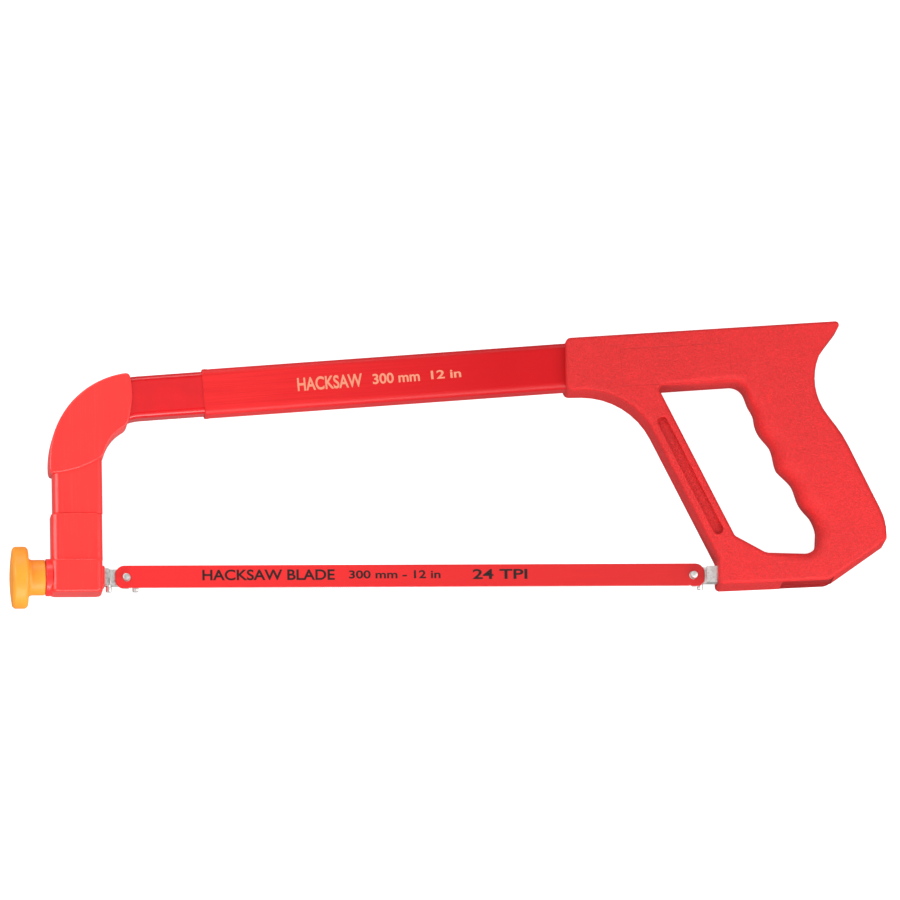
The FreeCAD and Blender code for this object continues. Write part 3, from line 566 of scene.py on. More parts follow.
def drawn_plastic(paint, colour, dark, light, turn):
    """Satin insulating sleeve, streaked at its open end, with painted light that makes it lighter
    there and darker towards the handle.
    """
    streak = paint.noise(1.0, 3.0, 0.6, paint.laid(turn, (0.02, 1.6, 1.6)))
    fine = paint.noise(1.0, 2.0, 0.5, paint.laid(turn, (0.05, 5.0, 5.0)))
    cloud = paint.noise(0.08, 2.0)
    tint = paint.blend(paint.ramp(streak, 0.3, 0.7), dark, light)
    # Painted light: the sleeve is painted lighter at its open end and darker towards the handle, as
    # the light falls along it.
    handle_end_shade = paint.ramp(paint.axis("X"), (HOLE.x + 0.06) / MM, (HOLE.x + 0.20) / MM)
    tint = paint.blend(handle_end_shade, tint, shade(colour, 0.80))
    relief = paint.dented(streak * 0.6 + fine * 0.4, 0.05)
    return paint.done(
        Base_Color=tint, Roughness=0.34 + streak * 0.10 + cloud * 0.06, Normal=relief,
        Specular_IOR_Level=0.3,
    )


def moulded_plastic(paint, colour):
    """Smooth moulded insulation, with the slight sink and scuffs of a real shell."""
    sink = paint.noise(0.07, 2.0)
    skin = paint.noise(1.4, 3.0, 0.6)
    scuff = paint.noise(1.0, 3.0, 0.6, paint.laid(0.0, (1.8, 0.03, 1.8)))
    tint = paint.blend(paint.ramp(sink, 0.35, 0.65), shade(colour, 0.95), shade(colour, 1.04))
    tint = paint.blend(paint.ramp(scuff, 0.48, 0.72) * 0.5, tint, shade(colour, 1.7))
    tint = paint.blend(paint.ramp(skin, 0.52, 0.75) * 0.25, tint, shade(colour, 0.78))
    relief = paint.dented(sink, 0.22)
    relief = paint.dented(skin, 0.05, relief)
    return paint.done(
        Base_Color=tint, Roughness=0.30 + paint.ramp(scuff, 0.5, 0.75) * 0.12, Normal=relief,
        Coat_Weight=0.15, Coat_Roughness=0.12,
    )


def knob_plastic(paint, colour):
    """Semi-gloss plastic with a slightly uneven skin."""
    cloud = paint.noise(0.10, 2.0)
    skin = paint.noise(1.8, 3.0, 0.6)
    tint = paint.blend(paint.ramp(cloud, 0.3, 0.7), shade(colour, 0.94), shade(colour, 1.05))
    relief = paint.dented(skin, 0.03)
    return paint.done(Base_Color=tint, Roughness=0.40 + cloud * 0.10, Normal=relief)


def machined_steel(paint, colour):
    """Plated steel with tool marks, and a little tarnish in patches."""
    marks = paint.noise(1.0, 3.0, 0.6, paint.laid(0.0, (6.0, 0.6, 0.6)))
    patch = paint.noise(0.5, 4.0, 0.65)
    tint = paint.blend(paint.ramp(patch, 0.46, 0.68), colour, shade(colour, 0.62))
    relief = paint.dented(marks, 0.02)
    relief = paint.dented(patch, 0.22, relief)
    return paint.done(
        Base_Color=tint, Metallic=0.92, Roughness=0.32 + patch * 0.20, Normal=relief,
    )


def black_plastic(paint, colour):
    """Plain dull plastic of a hidden plug."""
    grain = paint.noise(2.0, 2.0)
    tint = paint.blend(grain, shade(colour, 0.9), shade(colour, 1.2))
    relief = paint.dented(grain, 0.05)
    return paint.done(Base_Color=tint, Roughness=0.55 + grain * 0.1, Normal=relief)


def blade_lacquer(paint, colour, steel):
    """Lacquered spring steel whose tooth tips are bare, with painted light that makes it lighter at
    its front end and darker towards the handle.
    """
    along = paint.axis("X")
    up = paint.axis("Y")
    streak = paint.noise(1.0, 3.0, 0.6, paint.laid(0.0, (0.03, 2.2, 2.2)))
    speck = paint.noise(1.6, 3.0, 0.7)
    low = BLADE_LOW.y / MM
    bare = paint.ramp(up + speck * 0.30, low + 0.60, low + 0.30)
    start, end = BLADE_LOW.x / MM, BLADE_HIGH.x / MM
    # Painted light: the lacquer is painted lighter at the front end and darker towards the handle,
    # as the light falls along the blade.
    tint = paint.blend(paint.ramp(along, start, end), shade(colour, 1.08), shade(colour, 0.68))
    tint = paint.blend(paint.ramp(streak, 0.60, 0.82) * 0.4, tint, shade(colour, 1.5))
    tint = paint.blend(bare, tint, steel)
    return paint.done(
        Base_Color=tint, Metallic=bare * 0.9, Roughness=0.30 + streak * 0.12,
        Normal=paint.dented(streak, 0.02),
    )


def print_ink(paint, colour):
    """Thin printed ink that lets a little of the ground through."""
    speck = paint.noise(2.5, 3.0, 0.7)
    tint = paint.blend(paint.ramp(speck, 0.4, 0.75), colour, shade(colour, 0.8))
    return paint.done(
        Base_Color=tint, Roughness=0.50 + speck * 0.12, Specular_IOR_Level=0.2,
    )


def floor_paper(paint, colour):
    """Plain studio paper."""
    cloud = paint.noise(0.004, 2.0)
    tint = paint.blend(cloud, shade(colour, 0.52), shade(colour, 0.55))
    return paint.done(
        Base_Color=tint, Roughness=0.9, Specular_IOR_Level=0.1, Emission_Color=colour,
        Emission_Strength=0.86,
    )


# --- what a user may change -------------------------------------------------------------------

def length(name, description, default):
    """A size in millimetres."""
    return FloatProperty(name=name, description=description, default=default, min=0.0, max=100.0)


def hue(name, description, default):
    """A colour."""
    return FloatVectorProperty(
        name=name, description=description, default=default, subtype="COLOR",
        size=3, min=0.0, max=1.0,
    )


class HacksawShapes(bpy.types.PropertyGroup):
    """Roundings and small steps of the moulded pieces, in millimetres."""

    handle_edge: length("Handle edge", "Rounding of the handle's edges in millimetres", 2.0)
    grip_edge: length("Grip edge", "Rounding of the grip's finger side in millimetres", 9.0)
    finger_swell: length("Finger ridges", "Height of the grip's ridges in millimetres", 0.8)
    slot_depth: length("Slot depth", "Depth of the slot in the strut in millimetres", 2.6)
    coat_corner: length("Coat corner", "Corner of the coated tube in millimetres", 3.2)
    sleeve_corner: length("Sleeve corner", "Corner of the outer sleeve in millimetres", 3.4)
    shell_edge: length("Shell edge", "Rounding of the corner shells in millimetres", 1.2)
    knob_rim: length("Knob rim", "Rounding of the knob's rim in millimetres", 3.4)
    steel_edge: length("Steel edge", "Broken edge on the steel pieces in millimetres", 0.35)


class HacksawTeeth(bpy.types.PropertyGroup):
    """The blade's teeth."""

    per_inch: IntProperty(
        name="Teeth per inch", description="How many teeth in 25.4 millimetres",
        default=24, min=10, max=40,
    )
    depth: length("Tooth depth", "From the gullet to the tip in millimetres", 0.85)
    lean: length("Set", "How far teeth lean out to either side in millimetres", 0.14)
    margin: length("Plain ends", "Blade without teeth beyond each hole in millimetres", 1.0)


class HacksawColours(bpy.types.PropertyGroup):
    """Colours of the finishes."""

    handle: hue("Handle", "Grained plastic of the handle", (0.58, 0.009, 0.010))
    sleeve: hue("Sleeve", "Outer sleeve towards the handle", (0.62, 0.002, 0.006))
    sleeve_dark: hue("Dark streaks", "Outer sleeve's open end", (0.63, 0.012, 0.014))
    sleeve_light: hue("Light streaks", "Outer sleeve's open end", (0.75, 0.020, 0.022))
    coat: hue("Coat", "Dipped coat on the tube", (0.64, 0.002, 0.006))
    shell: hue("Shells", "Corner shells, arm sleeves and boot", (0.89, 0.030, 0.026))
    knob: hue("Knob", "Tension knob", (0.96, 0.33, 0.022))
    blade: hue("Blade", "Lacquer on the blade", (0.71, 0.015, 0.016))
    steel: hue("Steel", "Holders and pins", (0.84, 0.83, 0.81))
    brass: hue("Brass", "Nut in the knob", (0.70, 0.52, 0.24))
    sleeve_ink: hue("Sleeve print", "Ink on the outer sleeve", (0.74, 0.27, 0.17))
    blade_ink: hue("Blade print", "Ink on the blade", (0.018, 0.012, 0.012))
    plug: hue("Plugs", "Plugs in the tube's ends", (0.02, 0.02, 0.022))
    floor: hue("Floor", "Paper that the saw lies on", (0.97, 0.97, 0.97))


class HacksawSettings(bpy.types.PropertyGroup):
    """All that a user may change on the saw."""

    shapes: PointerProperty(type=HacksawShapes)
    teeth: PointerProperty(type=HacksawTeeth)
    colours: PointerProperty(type=HacksawColours)
    sleeve_word: StringProperty(
        name="Sleeve word", description="Word printed on the sleeve", default="HACKSAW",
    )


def colours():
    return bpy.context.scene.hacksaw.colours


def shapes():
    return bpy.context.scene.hacksaw.shapes


def handle_finish():
    return finish("handle_plastic", grained_plastic, tuple(colours().handle))


def shell_finish():
    return finish("corner_plastic", moulded_plastic, tuple(colours().shell))


def steel_finish():
    return finish("machined_steel", machined_steel, tuple(colours().steel))


# --- handle -----------------------------------------------------------------------------------

STRUT_HIGH = Vector((SPAN - 15.2, 63.9))
STRUT_LOW = Vector((SPAN + 12.5, 7.4))
STRUT_WAY = (STRUT_HIGH - STRUT_LOW).normalized()
STRUT_WIDTH = 13.2


def on_strut(height, inset):
    """A point on the strut's blade side at a height, moved across the strut."""
    run = (height - STRUT_LOW.y) / STRUT_WAY.y
    return STRUT_LOW.x + STRUT_WAY.x * run + inset / STRUT_WAY.y, height


def over_bar(x, rise):
    """A point above the sleeve on the bar."""
    return x, bar_y(x) + SLEEVE_HALF + rise


def handle_corners(edge):
    """Outside of the handle, as corners (x, y, rounding, edge)."""
    neck = bar_y(HANDLE_LOW.x) - SLEEVE_HALF - 1.6
    back = SPAN + 102.0
    return [
        (*over_bar(HANDLE_LOW.x, 1.8), 3, edge * 0.8),
        (HANDLE_LOW.x, neck, 3, edge * 0.8),
        (*on_strut(neck, 0), 40, edge),
        (STRUT_LOW.x, STRUT_LOW.y, 4, edge * 0.8),
        (RAIL_X, -7.0, 2.5, edge * 0.8),
        (SPAN + 71.4, -4.7, 8, edge),
        (back, 16.7, 2.5, edge * 0.8),
        (back, 27.0, 30, edge * 1.2),
        (back - 22.0, 73.2, 60, edge * 1.2),
        (*over_bar(SPAN + 57.3, -29.0), 32, edge),
        (*over_bar(SPAN + 81.3, 0.35), 2, edge * 0.7),
    ]


def grip_corners(edge, finger):
    """The opening for the fingers. Its grip side is far more rounded than the rest."""
    ceiling = bar_y(SPAN - 19.0) - SLEEVE_HALF - 2.6
    return [
        (*on_strut(ceiling, STRUT_WIDTH), 2, edge),
        (*on_strut(19.2, STRUT_WIDTH), 3, edge),
        (SPAN + 38.0, 9.9, 8, edge),
        (SPAN + 65.3, 9.9, 7, finger * 0.6),
        (SPAN + 65.3, 24.0, 9, finger),
        (SPAN + 52.2, 47.6, 9, finger),
        (SPAN + 46.0, 56.4, 6, finger),
        (SPAN + 41.2, 68.0, 9, finger),
        (SPAN + 34.2, 81.5, 9, finger * 0.9),
        (SPAN + 27.5, bar_y(SPAN + 27.5) - SLEEVE_HALF - 3.3, 8, finger * 0.45),
    ]


def slot_corners():
    """The long recess with round ends in the strut."""
    half = 2.6
    side = Vector((STRUT_WAY.y, -STRUT_WAY.x)) * half
    high = Vector(on_strut(80.3, STRUT_WIDTH / 2)) + STRUT_WAY * half
    low = Vector(on_strut(22.5, STRUT_WIDTH / 2)) - STRUT_WAY * half
    rounding = half * 0.98
    return [(*p, rounding, 0.55) for p in (high + side, low + side, low - side, high - side)]


def finger_waves(points, swell):
    """The grip's opening with a ridge between each two fingers."""
    waved = []
    for x, y, edge in points:
        held = min(1.0, max(0.0, (y - 22) / 8), max(0.0, (94 - y) / 8))
        if x < SPAN + 24 or held <= 0:
            waved.append((x, y, edge))
            continue
        push = -swell * held * math.cos(2 * math.pi * (y - 57.5) / 19.5)
        waved.append((x + 0.86 * push, y + 0.5 * push, edge))
    return waved


class HACKSAW_OT_handle(bpy.types.Operator):
    """Moulded handle with its slot, its socket for the rear shank and its pocket"""

    bl_idname = "hacksaw.handle"
    bl_label = "Handle"

    def execute(self, context):
        kit = shapes()
        half = HANDLE_HIGH.z
        solid = rounded_plate(
            [
                outline(handle_corners(kit.handle_edge)),
                finger_waves(
                    outline(grip_corners(kit.handle_edge, kit.grip_edge), stride=1.6),
                    kit.finger_swell,
                ),
            ],
            -half, half, pits=[(outline(slot_corners()), kit.slot_depth)],
        )
        mouth = SHANK_HALF + 0.7
        lock = SPAN + 25.0
        solid = carved(solid, [
            brick((RAIL_X - 1, -mouth, -mouth), (lock + 9.2, mouth, mouth)),
            brick((lock, -1.95, -7.5), (lock + 7.2, 1.95, 7.5)),
            brick((POCKET_START, -9, -half + 0.8), (POCKET_END, POCKET_TOP, half - 2.2)),
        ])
        make_piece(
            "handle_shell", solid, handle_finish(), "bow", ("handle",), 32.0,
        )
        return {"FINISHED"}


# --- bow --------------------------------------------------------------------------------------

def bow_rings(corner, end):
    """Rings of the coated tube, from the arm's foot round the bend and along the bar."""
    shape = section(COAT_HALF, COAT_SIDE, corner)
    stations = [(Vector((ARM_X, y, 0)), Vector((-1, 0, 0))) for y in (COAT_LOW.y, 20.0, 45.0)]
    for k in range(33):
        angle = math.pi - (math.pi / 2 - SLOPE) * k / 32
        across = Vector((math.cos(angle), math.sin(angle), 0))
        stations.append((BEND + across * BEND_RADIUS, across))
    for run in (30.0, 120.0, end):
        stations.append((BAR_START + ALONG * run, ACROSS))
    return [[at + across * u + Vector((0, 0, v)) for u, v in shape] for at, across in stations]


class HACKSAW_OT_coat(bpy.types.Operator):
    """Glossy dipped coat on the bent tube"""

    bl_idname = "hacksaw.coat"
    bl_label = "Coated tube"

    def execute(self, context):
        end = bar_run(COAT_HIGH.x)
        solid = loft(bow_rings(shapes().coat_corner, end))
        way = SHANK_HALF + 0.9
        solid = carved(solid, [brick((COAT_LOW.x - 2, -way, -way), (ARM_X + 14, way, way))])
        gloss = finish("coat_plastic", dipped_plastic, tuple(colours().coat))
        make_piece("dipped_coat", solid, gloss, "bow", ("bow_coating",))
        return {"FINISHED"}


class HACKSAW_OT_sleeve(bpy.types.Operator):
    """Outer sleeve on the top bar, with the bead round its open end"""

    bl_idname = "hacksaw.sleeve"
    bl_label = "Outer sleeve"

    def execute(self, context):
        corner = shapes().sleeve_corner
        start = 34.2
        end = bar_run(HANDLE_LOW.x) + 20.0
        stations = [
            (start, -0.75), (start + 0.02, -0.35), (start + 0.25, -0.05), (start + 0.7, 0.12),
            (start + 1.4, 0.18), (start + 2.2, 0.14), (start + 2.9, 0.02), (start + 3.6, -0.04),
            (start + 5.5, 0.0), (start + 8.0, 0.0), (end - 2.0, 0.0), (end, 0.0),
        ]
        rings = []
        for run, grow in stations:
            at = BAR_START + ALONG * run
            shape = section(SLEEVE_HALF + grow, SLEEVE_SIDE + min(grow, 0.0), corner)
            rings.append([at + ACROSS * u + Vector((0, 0, v)) for u, v in shape])
        paints = colours()
        streaks = tuple(paints.sleeve_dark), tuple(paints.sleeve_light)
        satin = finish("sleeve_plastic", drawn_plastic, tuple(paints.sleeve), *streaks, SLOPE)
        make_piece("outer_sleeve", loft(rings), satin, "bow", ("top_sleeve",))
        return {"FINISHED"}


def shell_corners():
    """Outline of the shells round the bend: two arcs and two ends that bulge."""
    outer = BEND_RADIUS + COAT_HALF + 3.3
    inner = BEND_RADIUS - COAT_HALF - 2.8

    def at(radius, degrees):
        angle = math.radians(142.4 + degrees)
        return Vector((BEND.x + radius * math.cos(angle), BEND.y + radius * math.sin(angle)))

    def bulge(start, finish, centre_side):
        middle = (start + finish) / 2
        way = (finish - start).normalized()
        out = Vector((way.y, -way.x))
        if out.dot(centre_side) > 0:
            out.negate()
        return [
            start.lerp(finish, k / 10) + out * 2.0 * (1 - (2 * k / 10 - 1) ** 2)
            for k in range(1, 10)
        ]

    inside = at(36, 0) - (at(outer, -43.8) + at(inner, -27.6)) / 2
    outside = at(36, 0) - (at(outer, 43.8) + at(inner, 27.6)) / 2
    points = []
    for k in range(41):
        degrees = -43.8 + 87.6 * k / 40
        points.append(at(outer - 1.4 * max(0.0, -degrees / 43.8) ** 1.5, degrees))
    points += bulge(at(outer, 43.8), at(inner, 27.6), outside)
    points += [at(inner, 27.6 - 55.2 * k / 16) for k in range(17)]
    points += bulge(at(inner, -27.6), points[0], inside)
    return points


class HACKSAW_OT_corner(bpy.types.Operator):
    """Two moulded shells that meet over the bend"""

    bl_idname = "hacksaw.corner"
    bl_label = "Corner shells"

    def execute(self, context):
        edge = shapes().shell_edge
        side = limits("corner_shell_upper")[1].z
        loop = eased_line([(point.x, point.y, edge) for point in shell_corners()], 1.0, 7)
        for name in ("upper", "lower"):
            shell = rounded_plate([loop], 0.04, side, low_share=0.22)
            if name == "lower":
                bmesh.ops.scale(shell, vec=(1, 1, -1), verts=shell.verts)
            node = f"corner_shell_{name}"
            make_piece(node + "_moulded", shell, shell_finish(), "bow", (node,))
        return {"FINISHED"}


def arm_ring(y, low, high, side, corner, shrink):
    """A ring round the arm at a height, between two x and two z."""
    middle = (low + high) / 2
    shape = section((high - low) / 2 - shrink, side - shrink, max(corner - shrink * 0.5, 0.6))
    return [Vector((middle + u, y, v)) for u, v in shape]


class HACKSAW_OT_arm(bpy.types.Operator):
    """Two sleeves on the arm and the boot at its foot"""

    bl_idname = "hacksaw.arm"
    bl_label = "Arm sleeves and boot"

    def execute(self, context):
        for node, corner, edge, wider, higher in (
            ("arm_sleeve", 3.6, 0.5, 0.8, 5.0), ("arm_sleeve_lower", 3.8, 0.7, 0.5, 0.0),
        ):
            low, high = limits(node)
            rings = []
            for y, shrink in eased(high.y + higher, low.y, edge):
                rings.append(arm_ring(y, low.x, high.x + wider, high.z, corner, shrink))
            solid = loft(rings)
            if node == "arm_sleeve_lower":
                way = SHANK_HALF + 0.9
                solid = carved(solid, [brick((low.x - 2, -20, -way), (high.x + 3, way, way))])
            make_piece(node + "_moulded", solid, shell_finish(), "bow", (node,))
        boot_low, boot_high = limits("nose_boot")
        left, right = boot_low.x + 2.5, boot_high.x - 1.2
        rings = []
        for y, shrink in eased(boot_high.y - 1.4, boot_low.y + 0.8, 1.4):
            if y > 0:
                shrink *= 0.4
            rings.append(arm_ring(y, left, right, boot_high.z, 3.6, shrink))
        way = SHANK_HALF + 0.3
        solid = carved(loft(rings), [
            brick((left - 1, -way, -way), (right + 1, way, way)),
            turned([(left - 1, 0), (left - 1, 7.1), (left + 14.0, 7.1), (left + 14.0, 0)]),
        ])
        collar = turned([point[:2] for point in outline([
            (boot_low.x, 7.1, 0.2, 0), (boot_low.x, 9.85, 0.6, 0), (left + 1, 9.85, 0, 0),
            (left + 1, 7.1, 0, 0),
        ], stride=9.0, fineness=20.0)])
        lip_rings = []
        for stand, shrink in ((-1, 0.0), (0.5, 0.0), (0.9, 0.1), (1.2, 0.4)):
            shape = section(5.5 - shrink, 5.5 - shrink, 1.2)
            lip_rings.append([Vector((right + stand, u, v)) for u, v in shape])
        lip = carved(loft(lip_rings), [brick((right - 3, -way, -way), (right + 3, way, way))])
        make_piece(
            "boot_moulded", joined(solid, collar, lip), shell_finish(), "bow",
            ("nose_boot",),
        )
        return {"FINISHED"}


# --- knob, holders and blade ------------------------------------------------------------------

class HACKSAW_OT_knob(bpy.types.Operator):
    """Turned tension knob with its neck and its bore"""

    bl_idname = "hacksaw.knob"
    bl_label = "Tension knob"

    def execute(self, context):
        low, high = limits("knob")
        left, right, reach = low.x, high.x, high.z
        rim = shapes().knob_rim
        crown = [(left + 1.1 * (r / 14.0) ** 2, r, 0, 0) for r in (0.0, 2.5, 5.0, 7.5, 10.0, 12.0)]
        profile = outline(crown + [
            (left + 1.3, reach - 1.2, 0, 0),
            (left + 2.4, reach, rim * 0.5, 0),
            (left + 9.6, reach, 2.2, 0),
            (left + 9.6, 9.4, 2.2, 0),
            (right, 9.4, 0.7, 0),
            (right, 6.3, 0, 0),
            (right - 14.3, 6.3, 0, 0),
            (right - 14.3, 4.35, 0, 0),
            (left + 3.2, 4.35, 0, 0),
            (left + 3.2, 0.0, 0, 0),
        ], stride=2.5, fineness=12.0)
        orange = finish("knob_plastic", knob_plastic, tuple(colours().knob))
        make_piece(
            "tension_knob", turned([point[:2] for point in profile]), orange, "knob",
            ("knob",),
        )
        return {"FINISHED"}


def shoulder_groove():
    """Cutter for the slanted groove across the front holder, where its shank ends."""
    top = limits("front_holder")[1].z
    groove = brick((-0.75, -9.0, top - 3.2), (0.75, 9.0, top + 1.0))
    lean = Matrix.Translation((-9.3, 0, 0)) @ Matrix.Rotation(math.radians(-9), 4, "Z")
    groove.transform(lean)
    return groove


class HACKSAW_OT_holders(bpy.types.Operator):
    """Blade holders, their pins and the thrust washer, with broken edges"""

    bl_idname = "hacksaw.holders"
    bl_label = "Blade holders"

    def execute(self, context):
        edge = shapes().steel_edge
        for body, nodes in (
            ("front_holder", (
                "front_holder", "front_blade_pin", "front_side_pin", "front_stop_pin",
            )),
            ("rear_holder", ("rear_holder", "rear_blade_pin", "rear_side_pin")),
            ("bow", ("thrust_washer",)),
        ):
            for node in nodes:
                cutters = [shoulder_groove()] if node == "front_holder" else []
                softened(node, edge, steel_finish(), body, cutters)
        return {"FINISHED"}


# A tooth has six points, and the row's wave goes on by this angle in radians at each tooth.
TOOTH_POINTS = 6.0
WAVE_STEP = 0.9


def tooth_tree(name):
    """Geometry Nodes that repeat one tooth along the blade's edge, leaning left and right."""
    tree = bpy.data.node_groups.new(name, "GeometryNodeTree")
    face = tree.interface
    sockets = {}
    for label, kind in (
        ("Tooth", "NodeSocketObject"), ("Count", "NodeSocketInt"),
        ("Pitch", "NodeSocketFloat"), ("Start", "NodeSocketVector"),
        ("Lean", "NodeSocketFloat"), ("Finish", "NodeSocketMaterial"),
    ):
        sockets[label] = face.new_socket(label, in_out="INPUT", socket_type=kind).identifier
    face.new_socket("Teeth", in_out="OUTPUT", socket_type="NodeSocketGeometry")

    def add(kind, settings, links):
        made = tree.nodes.new(kind)
        for setting, value in settings.items():
            setattr(made, setting, value)
        for socket, value in links.items():
            if isinstance(value, bpy.types.NodeSocket):
                tree.links.new(value, made.inputs[socket])
            else:
                made.inputs[socket].default_value = value
        return made

    given = tree.nodes.new("NodeGroupInput").outputs
    step = add("ShaderNodeCombineXYZ", {}, {"X": given["Pitch"]}).outputs[0]
    row = add("GeometryNodeMeshLine", {"mode": "OFFSET"}, {
        "Count": given["Count"], "Start Location": given["Start"], "Offset": step,
    }).outputs[0]
    tooth = add("GeometryNodeObjectInfo", {}, {"Object": given["Tooth"]}).outputs["Geometry"]
    place = add("GeometryNodeInstanceOnPoints", {}, {"Points": row, "Instance": tooth}).outputs[0]
    real = add("GeometryNodeRealizeInstances", {}, {"Geometry": place}).outputs[0]

    def maths(operation, *values):
        return add("ShaderNodeMath", {"operation": operation}, dict(enumerate(values))).outputs[0]

    index = add("GeometryNodeInputIndex", {}, {}).outputs[0]
    number = maths("DIVIDE", index, TOOTH_POINTS)
    wave = maths("SINE", maths("MULTIPLY", number, WAVE_STEP))
    push = maths("MULTIPLY", wave, given["Lean"])
    spot = add("GeometryNodeInputPosition", {}, {}).outputs[0]
    parts = add("ShaderNodeSeparateXYZ", {}, {0: spot}).outputs
    first = add("ShaderNodeSeparateXYZ", {}, {0: given["Start"]}).outputs
    drop = maths("SUBTRACT", first["Y"], parts["Y"])
    is_tip = maths("GREATER_THAN", drop, 0.3 * MM)
    shove = add("ShaderNodeCombineXYZ", {}, {"Z": maths("MULTIPLY", push, is_tip)}).outputs[0]
    bent = add("GeometryNodeSetPosition", {}, {"Geometry": real, "Offset": shove}).outputs[0]
    done = add("GeometryNodeSetMaterial", {}, {"Geometry": bent, "Material": given["Finish"]})
    add("NodeGroupOutput", {}, {0: done.outputs[0]})
    return tree, sockets


class HACKSAW_OT_blade(bpy.types.Operator):
    """Lacquered blade with its holes and its waved row of fine teeth"""

    bl_idname = "hacksaw.blade"
    bl_label = "Blade"

    def execute(self, context):
        teeth = context.scene.hacksaw.teeth
        low, high = limits("blade")
        half, thick = high.y, high.z
        root = -half + teeth.depth
        pitch = 25.4 / teeth.per_inch
        first, last = teeth.margin, SPAN - teeth.margin
        edge = 0.06
        sheet = outline([
            (low.x, -half, 5, edge), (first, -half, 0, edge), (first + 0.6, root, 0, edge),
            (last - 0.6, root, 0, edge), (last, -half, 0, edge), (high.x, -half, 5, edge),
            (high.x, half, 5, edge), (low.x, half, 5, edge),
        ], stride=12.0, fineness=6.0)
        holes = []
        for x in (0.0, SPAN):
            holes.append([
                (x + 2.2 * math.cos(a), 2.2 * math.sin(a), edge)
                for a in (2 * math.pi * k / 48 for k in range(48))
            ])
        paints = colours()
        lacquer = finish("blade_paint", blade_lacquer, tuple(paints.blade), tuple(paints.steel))
        body = rounded_plate([sheet, *holes], -thick, thick, steps=2)
        make_piece("blade_sheet", body, lacquer, "blade", ("blade",))

        tooth = bmesh.new()
        profile = ((0.0, root + 0.05), (pitch, root + 0.05), (pitch * 0.22, -half))
        back, front = (
            [tooth.verts.new((x, y - root, z)) for x, y in profile] for z in (-thick, thick)
        )
        tooth.faces.new(back)
        tooth.faces.new(front)
        bridge(tooth, [back, front])
        pattern = loose(tooth)
        pattern.data.transform(Matrix.Scale(MM, 4))
        carrier = bpy.data.objects.new("teeth", bpy.data.meshes.new("teeth"))
        context.scene.collection.objects.link(carrier)
        repeat = carrier.modifiers.new("Teeth", "NODES")
        repeat.node_group, sockets = tooth_tree("Row of teeth")
        values = {
            "Tooth": pattern,
            "Count": int((last - first - 1.2) / pitch),
            "Pitch": pitch * MM,
            "Start": SAW @ Vector((first + 0.6, root, 0)),
            "Lean": teeth.lean * MM,
            "Finish": lacquer,
        }
        for label, value in values.items():
            repeat[sockets[label]] = value
        depsgraph = context.evaluated_depsgraph_get()
        mesh = bpy.data.meshes.new_from_object(carrier.evaluated_get(depsgraph))
        for spare in (carrier, pattern):
            bpy.data.objects.remove(spare)
        fit_out("blade_teeth", mesh, lacquer, "blade")
        return {"FINISHED"}


# --- print ------------------------------------------------------------------------------------

def printed(name, words, ink, body, start, end, height, middle, turn, face):
    """Flat print, stretched between two places along the piece and centred on a height."""
    curve = bpy.data.curves.new(name, "FONT")
    curve.body = words
    curve.extrude = 0.01
    curve.offset = 0.022
    text = bpy.data.objects.new(name, curve)
    bpy.context.scene.collection.objects.link(text)
    depsgraph = bpy.context.evaluated_depsgraph_get()
    mesh = bpy.data.meshes.new_from_object(text.evaluated_get(depsgraph))
    bpy.data.objects.remove(text)
    xs = [vert.co.x for vert in mesh.vertices]
    ys = [vert.co.y for vert in mesh.vertices]
    wide, tall = max(xs) - min(xs), max(ys) - min(ys)
    centre = Matrix.Translation((-min(xs), -(max(ys) + min(ys)) / 2, 0))
    stretch = Matrix.Diagonal(((end - start) / wide, height / tall, 1, 1))
    if turn:
        at = BAR_START + ALONG * start + ACROSS * middle
    else:
        at = Vector((start, middle, 0))
    put = Matrix.Translation((at.x, at.y, face + 0.012)) @ Matrix.Rotation(turn, 4, "Z")
    mesh.transform(SAW @ put @ stretch @ centre)
    fit_out(name, mesh, ink, body)


class HACKSAW_OT_print(bpy.types.Operator):
    """Plain generic print on the sleeve and the blade"""

    bl_idname = "hacksaw.print"
    bl_label = "Print"

    def execute(self, context):
        paints = colours()
        pale = finish("sleeve_print", print_ink, tuple(paints.sleeve_ink))
        black = finish("blade_print", print_ink, tuple(paints.blade_ink))
        word = context.scene.hacksaw.sleeve_word
        for name, words, start, end, height in (
            ("sleeve_word", word, 84.0, 118.5, 7.2),
            ("sleeve_size", "300 mm", 124.0, 149.0, 5.6),
            ("sleeve_inches", "12 in", 155.0, 171.0, 4.6),
        ):
            printed(
                name, words, pale, "bow", start, end, height, 0.0, SLOPE,
                SLEEVE_SIDE,
            )
        face = limits("blade")[1].z
        for name, words, start, end, height in (
            ("blade_word", "HACKSAW BLADE", 40.0, 110.0, 5.8),
            ("blade_size", "300 mm - 12 in", 117.5, 166.0, 4.4),
            ("blade_pitch", "24 TPI", 183.0, 212.0, 5.4),
        ):
            printed(name, words, black, "blade", start, end, height, 1.0, 0.0, face)
        return {"FINISHED"}


# --- hidden steel and stage -------------------------------------------------------------------

class HACKSAW_OT_inside(bpy.types.Operator):
    """Finishes for the pieces that are kept as they were made: tube, plugs, bush, anchor, pins"""

    bl_idname = "hacksaw.inside"
    bl_label = "Inner pieces"

    def execute(self, context):
        paints = colours()
        black = finish("plug_plastic", black_plastic, tuple(paints.plug))
        brass = finish("nut_brass", machined_steel, tuple(paints.brass))
        for node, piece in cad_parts.items():
            if node.endswith("plug"):
                coat = black
            elif node == "knob_nut":
                coat = brass
            else:
                coat = steel_finish()
            if not piece.hide_render:
                piece.data.materials.clear()
                piece.data.materials.append(coat)
        return {"FINISHED"}


